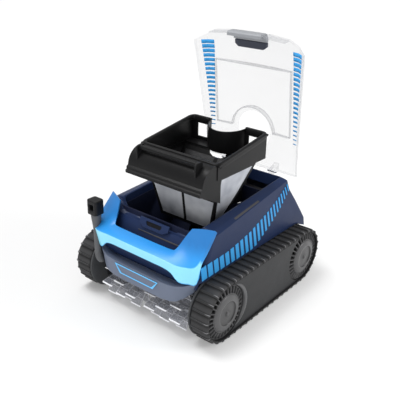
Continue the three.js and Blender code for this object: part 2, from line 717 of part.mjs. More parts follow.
// The curved nose block ahead of the basket, as a (y, z) outline.
const nose = [
  [-91, 250], ...arc(-101, 205, 45, 90, 172, 7), [-146, 208], [-151, 205], [-151, 199],
  [-155, 197], [-155, 190], [-146, 187], [-79, MESH_TOP], [-79, CAN_LOW], [-91, CAN_LOW],
];
const noseHollow = [
  [-95, 244], ...arc(-101, 205, 39, 90, 168, 6), [-139, 195], [-79, 160], [-60, 160], [-60, 211],
  [-95, 211],
];
const DIAGONAL = [[-49, CAN_FLOOR], [68, 215]];
const diagonalRun = (DIAGONAL[1][0] - DIAGONAL[0][0]) / (DIAGONAL[1][1] - DIAGONAL[0][1]);
const basketSolid = (inset, top = 215) => {
  const shift = inset * Math.hypot(1, diagonalRun);
  const profile = [
    [-79 + inset, MESH_TOP],
    [-66 + inset, CAN_FLOOR + inset],
    [DIAGONAL[0][0] + inset * diagonalRun - shift, CAN_FLOOR + inset],
    [DIAGONAL[1][0] + (top - 215) * diagonalRun - shift, top],
    [-79 + inset, top],
  ];
  const edge = [[81.5, CAN_FLOOR - 5], [104, MESH_TOP], [114, 215], [114, 260]];
  const taper = edge.map(([x, z]) => [x - inset, z]);
  const front = [...taper, ...taper.slice().reverse().map(([x, z]) => [-x, z])];
  return plate("X", profile, -130, 130).intersect(plate("Y", front, -100, 100));
};
// Sieve windows: the axis each is cut along, how deep the cut runs and its outline grown by g.
const WINDOWS = {
  front: {
    axis: "Y",
    span: [-95, -60],
    outline: (g) => [[3.5 - g, 68 - g], [75 + g, 68 - g], [96 + g, 147 + g], [3.5 - g, 147 + g]],
  },
  side: {
    axis: "X",
    span: [60, 130],
    outline: (g) => [
      [-61 - g, 72 - g], [-53 + g, 72 - g], [52 + g, 207 + g], [-72 - g, 207 + g], [-72 - g, 150],
    ],
  },
  rear: {
    axis: "Y",
    span: [-44, 80],
    outline: (g) => [[5 - g, 92 - g], [80 + g, 92 - g], [104 + g, 200 + g], [5 - g, 200 + g]],
  },
};
function windowPrism(kind, side, grow) {
  const { axis, span, outline } = WINDOWS[kind];
  if (axis === "X") return plate("X", outline(grow), side * span[0], side * span[1]);
  return plate("Y", outline(grow).map(([x, z]) => [side * x, z]), ...span);
}
const towerNotch = (radius) => rod("Z", 0, TOWER_Y, radius, 150, 400, 28);
const upperCavity = cut(
  join(
    block(-CAN_X + 3, CAN_X - 3, RIM_FRONT[0] + 3, RIM_REAR[0] - 3, CAN_LOW + 2.5, CAVITY_TOP),
    block(-111, 111, -76, 62, CAN_LOW - 5, CAN_LOW + 5),
  ),
  towerNotch(NOTCH_R + 2.5),
);
const canisterFrame = cut(
  join(
    plate("X", upperOutline, -CAN_X, CAN_X),
    plate("X", flangeOutline, -CAN_X - 4, CAN_X + 4),
    cut(plate("X", nose, -116, 116), plate("X", noseHollow, -112, 112)),
    cut(basketSolid(0), basketSolid(CAN_T, 230)),
  ),
  upperCavity,
  towerNotch(NOTCH_R),
  ["front", "side", "rear"].flatMap((kind) => sides.map(([, side]) => windowPrism(kind, side, 0))),
  sides.map(([, side]) => block(side * 66, side * 98, 90, 105, 226, 262)),
  block(-48, 48, -46, -20, 66, 82),
);
add(canister, "canister_frame", canisterFrame, black);

["front", "side", "rear"].forEach((kind) => {
  sides.forEach(([hand, side]) => {
    const sheet = cut(basketSolid(0.8, 240), basketSolid(1.8, 250));
    add(canister, `${kind}_mesh_${hand}`, sheet.intersect(windowPrism(kind, side, -GAP)), meshSilver);
  });
});

const gripOutline = [[-141, 226], [-141, 256], [-137, 260], [-120, 260], [-116, 256], [-116, 236]];
const raisedNose = nose.map(([y, z]) => [y - 0.2, z + 0.4]);
const grip = cut(
  join(
    sides.map(([, side]) => plate("X", gripOutline, side * 88, side * 92)),
    rod("X", -128, 254, 5.5, -90, 90, 16),
  ),
  plate("X", raisedNose, -130, 130),
  plate("X", nose, -130, 130),
);
add(canister, "canister_grip", grip, black);

// Non-return flap over the inlet, hung inside the sloping rear face.
const along = [diagonalRun / Math.hypot(1, diagonalRun), 1 / Math.hypot(1, diagonalRun)];
const inward = [-along[1], along[0]];
const onDiagonal = (run, lift) => [
  DIAGONAL[0][0] + along[0] * run + inward[0] * lift,
  DIAGONAL[0][1] + along[1] * run + inward[1] * lift,
];
const FLAP_RUN = [4, 32];
const FLAP_LIFT = [3.1, 4.7];
const flapOutline = [
  onDiagonal(FLAP_RUN[0], FLAP_LIFT[0]),
  onDiagonal(FLAP_RUN[1], FLAP_LIFT[0]),
  onDiagonal(FLAP_RUN[1], FLAP_LIFT[1]),
  onDiagonal(FLAP_RUN[0], FLAP_LIFT[1]),
];
const flap = plate("X", flapOutline, -52, 52);
add(canister, "inlet_flap", flap, black);

export default machine;
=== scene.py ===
"""A tracked pool cleaner with its clear lid open and its debris canister drawn up, built around
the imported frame."""

import json
import math

import bmesh
import bpy
import numpy as np
from mathutils import Matrix, Vector


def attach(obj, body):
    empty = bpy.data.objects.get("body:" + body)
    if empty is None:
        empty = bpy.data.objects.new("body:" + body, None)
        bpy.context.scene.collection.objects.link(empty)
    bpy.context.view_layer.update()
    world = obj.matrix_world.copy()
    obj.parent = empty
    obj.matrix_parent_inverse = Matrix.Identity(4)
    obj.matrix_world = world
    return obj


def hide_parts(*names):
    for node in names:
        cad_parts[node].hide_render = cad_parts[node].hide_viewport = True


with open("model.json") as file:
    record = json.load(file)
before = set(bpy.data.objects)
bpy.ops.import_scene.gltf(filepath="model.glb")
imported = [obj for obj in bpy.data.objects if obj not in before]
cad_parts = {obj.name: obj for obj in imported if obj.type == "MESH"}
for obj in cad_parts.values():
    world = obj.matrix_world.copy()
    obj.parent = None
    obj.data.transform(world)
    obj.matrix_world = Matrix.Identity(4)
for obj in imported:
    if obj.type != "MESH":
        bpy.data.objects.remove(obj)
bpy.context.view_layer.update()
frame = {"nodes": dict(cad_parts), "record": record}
nodes = frame["nodes"]

# ---------------------------------------------------------------- view, light and floor
# A pale studio sweep: a wide soft lamp overhead, a low lamp ahead of the nose that lights the
# bumper's bevel, and a lamp behind that lifts the rear of the flank. The floor is matt and white.
AZIMUTH, ELEVATION, ROLL = math.radians(38.93), math.radians(24.69), math.radians(1.15)
EYE = Vector((0.8603, -1.0749, 0.8661))
SENSOR = 36.0
LENS = 53.4

back = Vector((
    math.sin(AZIMUTH) * math.cos(ELEVATION),
    -math.cos(AZIMUTH) * math.cos(ELEVATION),
    math.sin(ELEVATION),
))
right = Vector((math.cos(AZIMUTH), math.sin(AZIMUTH), 0.0))
up = back.cross(right)
level_right = right * math.cos(ROLL) + up * math.sin(ROLL)
level_up = up * math.cos(ROLL) - right * math.sin(ROLL)
camera = bpy.data.objects.new("camera", bpy.data.cameras.new("camera"))
camera.data.sensor_width = SENSOR
camera.data.lens = LENS
camera.data.clip_end = 100
camera.matrix_world = Matrix.Translation(EYE) @ Matrix((level_right, level_up, back)).transposed().to_4x4()
bpy.context.scene.collection.objects.link(camera)
bpy.context.scene.camera = camera
bpy.context.scene.view_settings.view_transform = "Standard"


def lamp(name, place, aim, size, power):
    """A square area lamp at place, turned to face aim."""
    light = bpy.data.lights.new(name, "AREA")
    light.size, light.energy = size, power
    holder = bpy.data.objects.new(name, light)
    holder.location = place
    holder.rotation_euler = (Vector(aim) - Vector(place)).to_track_quat("-Z", "Y").to_euler()
    bpy.context.scene.collection.objects.link(holder)


OVERHEAD_X, OVERHEAD_Y, OVERHEAD_HEIGHT = -0.7, -0.5, 2.6
lamp("overhead", (OVERHEAD_X, OVERHEAD_Y, OVERHEAD_HEIGHT), (0, 0, 0.1), 1.3, 50)
lamp("low_front", (0.55, -2.4, 0.45), (0, -0.1, 0.2), 0.9, 15)
lamp("rear_right", (2.2, 1.1, 1.1), (0.1, 0.1, 0.2), 0.9, 26)


def add_node(tree, kind, sockets=None, **settings):
    """A shader node of this kind: its settings are made first, then its sockets' values."""
    made = tree.nodes.new(f"ShaderNode{kind}")
    for key, value in settings.items():
        setattr(made, key, value)
    for socket, value in (sockets or {}).items():
        made.inputs[socket].default_value = value
    return made


def wire(tree, *pairs):
    """Links each output to its input."""
    for start, end in pairs:
        tree.links.new(start, end)


def new_material(name, sockets=None):
    """A material, its node tree and its shader, with the values of the shader's sockets."""
    material = bpy.data.materials.new(name)
    material.use_nodes = True
    shader = material.node_tree.nodes["Principled BSDF"]
    for socket, value in (sockets or {}).items():
        shader.inputs[socket].default_value = value
    return material, material.node_tree, shader


SKY_AS_LIGHT, SKY_AS_SEEN = 0.55, 1.0
world = bpy.data.worlds.new("studio")
bpy.context.scene.world = world
world.use_nodes = True
backdrop = world.node_tree.nodes["Background"]
backdrop.inputs["Color"].default_value = (1, 1, 1, 1)
seen = add_node(world.node_tree, "LightPath")
sky = add_node(world.node_tree, "MapRange", {"To Min": SKY_AS_LIGHT, "To Max": SKY_AS_SEEN})
wire(world.node_tree, (seen.outputs["Is Camera Ray"], sky.inputs["Value"]),
     (sky.outputs["Result"], backdrop.inputs["Strength"]))

FLOOR_REACH, FLOOR_DROP = 40.0, 0.0005
corners = ((-1, -1), (1, -1), (1, 1), (-1, 1))
floor = bpy.data.objects.new("floor", bpy.data.meshes.new("floor"))
floor.data.from_pydata([(x * FLOOR_REACH, y * FLOOR_REACH, -FLOOR_DROP) for x, y in corners], [], [(0, 1, 2, 3)])
bpy.context.scene.collection.objects.link(floor)
pale, tree, pale_shader = new_material(
    "matt_white_floor", {"Base Color": (0.70, 0.70, 0.70, 1), "Roughness": 0.9, "Emission Color": (1, 1, 1, 1)})
# The overhead lamp's light falls off as 1 / (1 + (r / height)^2)^2 along the floor. The sweep
# glows by just as much as is lost, so that it stays plain white to the horizon.
GLOW_FAR, GLOW_NEAR = 0.62, 0.10
spot = add_node(tree, "TexCoord")
from_lamp = add_node(tree, "VectorMath", {1: (OVERHEAD_X, OVERHEAD_Y, 0)}, operation="DISTANCE")
wire(tree, (spot.outputs["Object"], from_lamp.inputs[0]))
fall = from_lamp.outputs["Value"]
for operation, amount in (("DIVIDE", OVERHEAD_HEIGHT), ("POWER", 2.0), ("ADD", 1.0), ("POWER", -2.0)):
    step = add_node(tree, "Math", {1: amount}, operation=operation)
    wire(tree, (fall, step.inputs[0]))
    fall = step.outputs[0]
glow = add_node(tree, "MapRange", {"To Min": GLOW_FAR, "To Max": GLOW_NEAR})
wire(tree, (fall, glow.inputs["Value"]), (glow.outputs["Result"], pale_shader.inputs["Emission Strength"]))
floor.data.materials.append(pale)

# ---------------------------------------------------------------- body shell
# One navy injection moulding: tall flanks that lean in and run down to the rear, a chamfered rim
# with a stepped ledge for the lid, and an opening for the canister. It is screwed to the chassis.
MM = 0.001


def moulded_grain():
    """Node group for moulded plastic. A coarse noise shifts the colour, a middle noise the gloss,
    and a fine noise is the spark-eroded grain's height."""
    group = bpy.data.node_groups.new("moulded_grain", "ShaderNodeTree")
    face = group.interface
    for label, kind, start in (
        ("Colour", "NodeSocketColor", (0.5, 0.5, 0.5, 1)), ("Gloss", "NodeSocketFloat", 0.4),
        ("Mottle", "NodeSocketFloat", 0.08), ("Grain Scale", "NodeSocketFloat", 900.0),
    ):
        face.new_socket(label, in_out="INPUT", socket_type=kind).default_value = start
    for label, kind in (("Colour", "NodeSocketColor"), ("Roughness", "NodeSocketFloat"),
                        ("Height", "NodeSocketFloat")):
        face.new_socket(label, in_out="OUTPUT", socket_type=kind)
    given, out = group.nodes.new("NodeGroupInput"), group.nodes.new("NodeGroupOutput")
    place = add_node(group, "TexCoord")
    noises = [add_node(group, "TexNoise", {"Scale": scale, "Detail": detail})
              for scale, detail in ((7.0, 3.0), (45.0, 4.0), (900.0, 2.0))]
    shade = add_node(group, "MapRange", {"From Min": 0.3, "From Max": 0.7, "To Max": 1.0})
    low = add_node(group, "Math", {0: 1.0}, operation="SUBTRACT")
    tint = add_node(group, "Mix", {"Factor": 1.0}, data_type="RGBA", blend_type="MULTIPLY")
    spread = add_node(group, "Math", {1: 0.16}, operation="MULTIPLY_ADD")
    wire(group, *[(place.outputs["Object"], noise.inputs["Vector"]) for noise in noises],
         (given.outputs["Grain Scale"], noises[2].inputs["Scale"]),
         (given.outputs["Mottle"], low.inputs[1]),
         (low.outputs[0], shade.inputs["To Min"]),
         (noises[0].outputs["Fac"], shade.inputs["Value"]),
         (given.outputs["Colour"], tint.inputs["A"]),
         (shade.outputs["Result"], tint.inputs["B"]),
         (tint.outputs["Result"], out.inputs["Colour"]),
         (noises[1].outputs["Fac"], spread.inputs[0]),
         (given.outputs["Gloss"], spread.inputs[2]),
         (spread.outputs[0], out.inputs["Roughness"]),
         (noises[2].outputs["Fac"], out.inputs["Height"]))
    return group


grain_group = moulded_grain()
GRAIN_DEPTH = 0.0004


def plastic(name, colour, gloss, grain=0.25, mottle=0.08, scale=900.0, specular=0.16):
    """A moulded plastic from the grain group: base colour, roughness, bump depth and grain scale."""
    material, tree, shader = new_material(name, {"Specular IOR Level": specular})
    mix = add_node(tree, "Group", node_tree=grain_group)
    for socket, value in (("Colour", (*colour, 1)), ("Gloss", gloss), ("Mottle", mottle), ("Grain Scale", scale)):
        mix.inputs[socket].default_value = value
    bump = add_node(tree, "Bump", {"Strength": grain, "Distance": GRAIN_DEPTH})
    wire(tree, (mix.outputs["Height"], bump.inputs["Height"]),
         (bump.outputs["Normal"], shader.inputs["Normal"]),
         (mix.outputs["Colour"], shader.inputs["Base Color"]),
         (mix.outputs["Roughness"], shader.inputs["Roughness"]))
    return material


def weave(rows, columns, close_rows=False, close_columns=False):
    """Quads over a rows x columns grid of points, each joined to the next along both ways."""
    i = np.arange(rows if close_rows else rows - 1)
    j = np.arange(columns if close_columns else columns - 1)
    i, j = np.meshgrid(i, j, indexing="ij")
    after_i, after_j = (i + 1) % rows, (j + 1) % columns
    corners = [i * columns + j, after_i * columns + j, after_i * columns + after_j, i * columns + after_j]
    return np.stack(corners, -1).reshape(-1, 4)


def piece(name, points, faces, material, body, replaced=(), turn=False, crease=35, merge=True):
    """A mesh object in metres from points in millimetres; turn flips the faces, crease is the
    angle past which an edge stays sharp."""
    mesh = bpy.data.meshes.new(name)
    faces = np.asarray(faces)
    if turn:
        faces = faces[:, ::-1]
    mesh.from_pydata((np.asarray(points, float).reshape(-1, 3) * MM).tolist(), [], faces.tolist())
    if merge:
        work = bmesh.new()
        work.from_mesh(mesh)
        bmesh.ops.remove_doubles(work, verts=work.verts, dist=2e-5)
        bmesh.ops.dissolve_degenerate(work, edges=work.edges, dist=1e-6)
        work.to_mesh(mesh)
        work.free()
    mesh.shade_smooth()
    mesh.set_sharp_from_angle(angle=math.radians(crease))
    made = bpy.data.objects.new(name, mesh)
    bpy.context.scene.collection.objects.link(made)
    mesh.materials.append(material)
    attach(made, body)
    if replaced:
        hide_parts(*replaced)
    return made


def walls(made, thickness):
    """Gives a sheet its wall, in millimetres, on the inner side of its faces."""
    solidify = made.modifiers.new("wall", "SOLIDIFY")
    solidify.thickness = thickness * MM
    solidify.offset = -1.0
    return made


def rounded(made, width, segments=2, angle=32, edge_slot=-1):
    """Rounds every edge sharper than angle by width millimetres, then evens the shading; the new
    faces can take a material slot of their own."""
    bevel = made.modifiers.new("round", "BEVEL")
    bevel.material = edge_slot
    bevel.width, bevel.segments = width * MM, segments
    bevel.limit_method, bevel.angle_limit = "ANGLE", math.radians(angle)
    made.modifiers.new("even", "WEIGHTED_NORMAL").keep_sharp = True
    return made


navy = plastic("navy_moulding", (0.015, 0.028, 0.080), 0.30, grain=0.18, mottle=0.1)

AXLE_Y, AXLE_Z, TRACK_TOP = 169.5, 75.7, 78.6
SKIRT, BELT_INNER = 131.0, 156.8
SHELL_WALL = 3.0
# One row per level, from the skirt up over the rim: front y and z, rear y and z, half width at
# the front and rear corner, corner radii.
SHELL_LEVELS = np.array([
    [-212, 131, 241, 131, 166.6, 170.0, 26, 8],
    [-212, 150, 241, 151, 166.2, 167.0, 26, 8],
    [-205, 166, 228, 173, 165.8, 163.5, 24, 8],
    [-190, 202, 203, 214, 164.6, 156.6, 20, 8],
    [-176, 236, 178, 250, 163.2, 150.6, 16, 7],
    [-167, 244.5, 173, 274, 162.0, 145.0, 14, 6],
    [-160, 250.5, 171, 277.0, 152.0, 138.4, 12, 6],
    [-158, 252.2, 170, 278.2, 149.0, 136.0, 12, 6],
    [-156.5, 252.6, 168.6, 278.4, 147.0, 134.0, 12, 5],
    [-155, 257.5, 166, 281.5, 130.5, 128.0, 12, 5],
    [-154, 256.5, 164.6, 280.5, 126.4, 125.4, 12, 4],
    [-154, 228, 164.6, 250, 125.0, 124.2, 12, 4],
])


def rounded_loop(level, side_points=26, corner_points=9, end_points=15):
    """A closed plan outline: a four-sided figure with rounded corners, starting at the middle of
    the front and running by the right flank; the height is a straight slope from front to rear."""
    y_front, z_front, y_rear, z_rear, x_front, x_rear, r_front, r_rear = level
    turn = np.linspace(0, np.pi / 2, corner_points)
    front = np.stack([np.linspace(0, x_front - r_front, end_points), np.full(end_points, y_front)], 1)[:-1]
    corner = np.stack([x_front - r_front + r_front * np.sin(turn), y_front + r_front - r_front * np.cos(turn)], 1)
    y = np.linspace(y_front + r_front, y_rear - r_rear, side_points)[1:-1]
    share = (y - y[0]) / (y[-1] - y[0])
    flank = np.stack([x_front + (x_rear - x_front) * share, y], 1)
    heel = np.stack([x_rear - r_rear + r_rear * np.cos(turn), y_rear - r_rear + r_rear * np.sin(turn)], 1)
    rear = np.stack([np.linspace(x_rear - r_rear, 0, end_points), np.full(end_points, y_rear)], 1)[1:]
    half = np.concatenate([front, corner, flank, heel, rear])
    whole = np.concatenate([half, half[-2:0:-1] * [-1, 1]])
    z = z_front + (z_rear - z_front) * (whole[:, 1] - y_front) / (y_rear - y_front)
    return np.column_stack([whole, z])


def clear_of_tracks(points):
    """Lifts the skirt over the belts: beyond their inner face it never drops under their crown."""
    beyond = np.clip(np.abs(points[..., 1]) - AXLE_Y, 0, None)
    crown = AXLE_Z + np.sqrt(np.clip(TRACK_TOP**2 - beyond**2, 0, None))
    low = np.where(np.abs(points[..., 0]) > BELT_INNER, np.maximum(crown, SKIRT), SKIRT)
    points[..., 2] = np.maximum(points[..., 2], low)
    return points


shell_points = clear_of_tracks(np.stack([rounded_loop(level) for level in SHELL_LEVELS]))
# The front wall is lower than the flanks: between the handle's arms the rim dips to the lid's edge.
DIP_HALF, DIP_RAMP, DIP_DEPTH = 112.0, 14.0, 20.0
FRONT_END, FRONT_RAMP = -120.0, 20.0
DIP_FOOT, DIP_RISE = 226.0, 16.0
dip = np.clip((DIP_HALF + DIP_RAMP - np.abs(shell_points[..., 0])) / DIP_RAMP, 0, 1)
dip = dip * np.clip((FRONT_END - shell_points[..., 1]) / FRONT_RAMP, 0, 1)
high = np.clip((shell_points[..., 2] - DIP_FOOT) / DIP_RISE, 0, 1)
shell_points[..., 2] -= DIP_DEPTH * dip * high
# The ledge behind the front wall is cut down to clear the shut lid, and its middle lower again,
# to let the latch's hook in behind the catch.
LEDGE_LEVEL, CATCH_HALF, CATCH_LEDGE, LID_LEDGE = 5, 56.0, 223.0, 230.0
ledge = shell_points[LEDGE_LEVEL:]
for half_width, height in ((CATCH_HALF, CATCH_LEDGE), (DIP_HALF, LID_LEDGE)):
    here = (np.abs(ledge[..., 0]) < half_width) & (ledge[..., 1] < FRONT_END)
    ledge[..., 2] = np.where(here, np.minimum(ledge[..., 2], height), ledge[..., 2])
shell = piece("body_shell_skin", shell_points, weave(*shell_points.shape[:2], close_columns=True),
              navy, "chassis", ["body_shell"], turn=True, crease=28)
walls(shell, SHELL_WALL)
rounded(shell, 1.2, angle=24)

# ---------------------------------------------------------------- catch frame, crease and rim inlays
# A raised frame on the front wall takes the lid's latch, with a thin pale feature line under it
# that is a painted highlight along the wall's crease.
# A flat grey-brown inlay is glued in the ledge along each side of the rim.
# The inlays' own grey-brown, also used for the feature line as its painted highlight.
inlay_and_crease_highlight_grey = plastic("inlay_and_crease_highlight_grey", (0.075, 0.073, 0.078), 0.45, grain=0.3)
# The catch slot's black floor is painted shade.
slot_painted_shade = plastic("slot_painted_shade", (0.006, 0.006, 0.008), 0.5, grain=0.2)


def wall_y(z):
    """The front wall's y at height z, from the shell's levels."""
    return np.interp(z, [150, 166, 202, 236, 249], [-212, -205, -190, -176, -167])


def frame_loops(outline, hole, proud):
    """Four closed loops in (x, z) laid on the front wall: foot, face, the hole's edge and its
    floor, as the section of a raised frame."""
    loops = []
    for ring, lift in ((outline, -1.0), (outline, proud), (hole, proud), (hole, -1.0)):
        loops.append(np.column_stack([ring[:, 0], wall_y(ring[:, 1]) - lift, ring[:, 1]]))
    return np.stack(loops)


catch_outline = np.array([[-46, 238], [46, 238], [46, 226], [30, 218], [-30, 218], [-46, 226]], float)
catch_hole = np.array([[-24, 234], [24, 234], [24, 228], [20, 223.5], [-20, 223.5], [-24, 228]], float)
CATCH_PROUD = 2.6
rounded(piece("catch_frame", frame_loops(catch_outline, catch_hole, CATCH_PROUD), weave(4, 6, True, True),
              navy, "chassis"), 0.5)
# The slot's floor is a black plate just behind the wall: painted shade for the dark hole behind the catch.
floor_y = wall_y(catch_hole[:, 1]) - 0.4
piece("catch_slot", np.column_stack([catch_hole[:, 0], floor_y, catch_hole[:, 1]])[[0, 1, 5, 2, 4, 3]],
      np.array([[2, 3, 1, 0], [4, 5, 3, 2]]), slot_painted_shade, "chassis")
# The feature line is a thin ridge coloured grey as a painted highlight along the crease.
line_x = np.linspace(-44, 92, 9)
line_z = 208.5 + 1.3 * np.sin(np.linspace(0.3, 1.2, 9)) * np.array([[-1.0], [-1.0], [1.0], [1.0]])
line_y = wall_y(line_z) - np.array([[-0.6], [0.8], [0.8], [-0.6]])
piece("feature_line", np.stack([np.broadcast_to(line_x, line_z.shape), line_y, line_z], -1), weave(4, 9),
      inlay_and_crease_highlight_grey, "chassis", turn=True, crease=60)


def rim_inlay(side):
    """A strip on the band between the flank's top and the rim: its corners are read at y on the
    two levels that bound the band, and it is lifted off the band by its own thickness."""
    y = np.linspace(-70, 34, 14)[:, None]
    ends = []
    for level in SHELL_LEVELS[[5, 6]]:
        share = (y - level[0]) / (level[2] - level[0])
        half_width = level[4] + (level[5] - level[4]) * share
        ends.append((half_width, level[1] + (level[3] - level[1]) * share))
    across = np.array([0.22, 0.24, 0.80, 0.82])
    lift = np.array([-0.3, 0.35, 0.35, -0.3])
    x = ends[0][0] + (ends[1][0] - ends[0][0]) * across + lift * 0.6
    z = ends[0][1] + (ends[1][1] - ends[0][1]) * across + lift * 0.8
    return np.stack([side * x, np.broadcast_to(y, x.shape), z], -1)


HANDS = (("left", -1), ("right", 1))
for hand, side in HANDS:
    strip = rim_inlay(side)
    piece(f"rim_inlay_{hand}", strip, weave(*strip.shape[:2]), inlay_and_crease_highlight_grey, "chassis",
          turn=side < 0, crease=60)

# ---------------------------------------------------------------- slanted bars on the flanks
# A row of soft blue in-mould bars along each flank, tall and wide at the nose, short and thin at
# the tail. Each stands a millimetre proud of the navy wall, with its rim sunk in it.
BAR_COUNT, BAR_PROUD, BAR_SINK = 23, 1.0, 1.4
bar_blue = plastic("bar_blue", (0.045, 0.33, 0.72), 0.32, grain=0.12)


def flank_x(y, z):
    """The flank's half width at (y, z). Each level is a straight line from its front to its rear,
    so its height and width are read at y, and the width is interpolated in z between levels."""
    levels = SHELL_LEVELS[1:6, :, None]
    share = np.clip((y - levels[:, 0]) / (levels[:, 2] - levels[:, 0]), 0, 1)
    heights = levels[:, 1] + (levels[:, 3] - levels[:, 1]) * share
    turned_in = levels[:, 0] + levels[:, 6]
    run = np.clip((y - turned_in) / (levels[:, 2] - levels[:, 7] - turned_in), 0, 1)
    widths = levels[:, 4] + (levels[:, 5] - levels[:, 4]) * run
    above = np.clip((heights < z).sum(0), 1, len(levels) - 1)
    column = np.arange(len(y))
    low, high = heights[above - 1, column], heights[above, column]
    part = np.clip((z - low) / (high - low), -1, 2)
    return widths[above - 1, column] * (1 - part) + widths[above, column] * part


def flank_bars(side):
    """Each bar is a grid of across x up points laid on the flank, its rim dropped back into the
    wall so that the edge is rounded."""
    k = np.arange(BAR_COUNT, dtype=float)
    middle = -198 + 22.6 * k - 0.28 * k**2
    pitch = 22.6 - 0.56 * k
    width = pitch * np.interp(k, [0, 8, 22], [0.76, 0.58, 0.32])
    top = np.interp(middle, [-198, -106, -17, 61, 117, 164], [190, 190, 204, 226, 246, 266])
    foot = np.interp(middle, [-198, -8, 61, 117, 164], [156.5, 156.5, 187, 217, 248])
    across = np.array([-0.5, -0.5, -0.42, -0.15, 0.15, 0.42, 0.5, 0.5])
    upward = np.array([0, 0, 0.03, 0.3, 0.6, 0.97, 1, 1])
    sunk = np.ones((8, 8))
    sunk[1:-1, 1:-1] = 0
    u, v = np.meshgrid(across, upward, indexing="ij")
    y = middle[:, None, None] + width[:, None, None] * u + 4.5 * (1 - v)
    z = foot[:, None, None] + (top - foot)[:, None, None] * v + 1.5 * u
    x = flank_x(y.ravel(), z.ravel()).reshape(y.shape) + BAR_PROUD - BAR_SINK * sunk
    points = np.stack([side * x, y, z], -1).reshape(-1, 3)
    faces = np.concatenate([weave(8, 8) + 64 * i for i in range(BAR_COUNT)])
    return points, faces


for hand, side in HANDS:
    points, faces = flank_bars(side)
    piece(f"flank_bars_{hand}", points, faces, bar_blue, "chassis", [f"flank_insert_{hand}"],
          turn=side < 0, crease=60, merge=False)

# ---------------------------------------------------------------- bumper and carrying handle
# A bright blue moulding that wraps the nose: a broad bar with a bevel under it, painted pale as a
# highlight, whose two arms climb to the front corners of the rim. The gap behind the bar is the hand hold.
ARM_SMOOTH = 3
HANDLE_WALL = 4.0
CROWN = np.array([0, -0.6, 1.0]) * 2.2
# Stations from the middle of the bar to the tip of the arm, each with the window edge, the fold,
# the bevel's foot and the underside's rear edge.
HANDLE = np.array([
    [[0, -217, 212.5], [0, -252, 204.5], [0, -241, 176], [0, -222, 184]],
    [[30, -217, 212.5], [30, -252, 204.5], [30, -241, 176], [30, -222, 184]],
    [[60, -216.5, 212.5], [60, -251, 204], [58, -240.5, 175.5], [58, -222, 183]],
    [[84, -215.5, 212.5], [92, -249.5, 202.5], [82, -239.5, 174.5], [82, -221, 181]],
    [[94, -214, 213.5], [110, -248, 200.5], [104, -238, 169], [103, -219, 176]],
    [[98, -210, 218], [128, -244, 197.5], [124, -234.5, 151], [123, -214, 160]],
    [[101, -204, 225], [146, -235, 195.5], [146, -225.5, 150], [144, -206, 156]],
    [[104, -198, 233], [160, -225, 195], [161.5, -216.5, 152], [158, -200, 160]],
    [[107, -192, 241], [165.5, -212, 204], [167, -207, 198], [163, -202, 196]],
    [[110, -186, 249], [165, -192, 224], [167.5, -187.5, 219], [163, -186, 216]],
    [[113, -181, 255], [164, -172, 244], [166.5, -168, 239], [162, -168, 236]],
    [[115, -177.5, 259.5], [163, -155.5, 261.5], [165.5, -152, 257], [161, -153, 253]],
])


def along(stations, smooth):
    """Catmull-Rom curve through the stations, smooth points for each step."""
    before = np.concatenate([2 * stations[:1] - stations[1:2], stations,
                             2 * stations[-1:] - stations[-2:-1]])
    t = np.linspace(0, 1, smooth, endpoint=False)[None, :, None, None]
    p0, p1, p2, p3 = (before[k:len(before) - 3 + k, None] for k in range(4))
    curve = 0.5 * (2 * p1 + (p2 - p0) * t + (2 * p0 - 5 * p1 + 4 * p2 - p3) * t**2
                   + (3 * p1 - p0 - 3 * p2 + p3) * t**3)
    return np.concatenate([curve.reshape(-1, *stations.shape[1:]), stations[-1:]])


def handle_skin():
    """Columns follow the bar and arm; rows run from the window edge over a gently crowned face to
    the fold, down the bevel and under, with extra rows beside each fold to keep it crisp."""
    half = along(HANDLE, ARM_SMOOTH)
    rows = []
    bands = ((0, 1, (0, 0.04, 0.3, 0.6, 0.86, 0.95)), (1, 2, (0, 0.08, 0.5, 0.92)), (2, 3, (0, 0.3, 1)))
    for a, b, shares in bands:
        for share in shares:
            row = half[:, a] * (1 - share) + half[:, b] * share
            row = row + (CROWN * np.sin(np.pi * share) if a == 0 else 0)
            rows.append(row)
    half = np.stack(rows, 1)
    mirrored = half[:0:-1] * [-1, 1, 1]
    return np.concatenate([mirrored, half])


handle_grid = handle_skin()
handle_blue = plastic("handle_blue", (0.030, 0.31, 0.80), 0.24, grain=0.1, mottle=0.05, specular=0.3)
handle = piece("bumper_handle_skin", handle_grid, weave(*handle_grid.shape[:2]), handle_blue,
               "chassis", ["bumper_handle"], turn=True, crease=26)
walls(handle, HANDLE_WALL)
rounded(handle, 1.0, angle=34)


def painted(made, label, values):
    """Stores a value at each point of the mesh, for a material to read by its label."""
    store = made.data.attributes.new(label, "FLOAT", "POINT")
    store.data.foreach_set("value", np.ravel(values).astype(np.float32))


# Painted light and shade: the bevel under the fold is painted an icy blue as a highlight, and the arms
# are painted a deeper blue than the bar as shade.
BEVEL_ROWS, ARM_FOOT, ARM_FADE = (6, 9), 206.0, 26.0
spots = np.empty(len(handle.data.vertices) * 3, np.float32)
handle.data.vertices.foreach_get("co", spots)
spots = spots.reshape(-1, 3) / MM
apart = ((spots[:, None, :] - handle_grid.reshape(1, -1, 3)) ** 2).sum(2)
row_of = np.argmin(apart, 1) % handle_grid.shape[1]
painted(handle, "bevel", (row_of >= BEVEL_ROWS[0]) & (row_of <= BEVEL_ROWS[1]) & (spots[:, 2] < ARM_FOOT))
painted(handle, "arm", np.clip((spots[:, 2] - ARM_FOOT) / ARM_FADE, 0, 1))
tree = handle_blue.node_tree
on_bevel = add_node(tree, "Attribute", attribute_name="bevel")
on_arm = add_node(tree, "Attribute", attribute_name="arm")
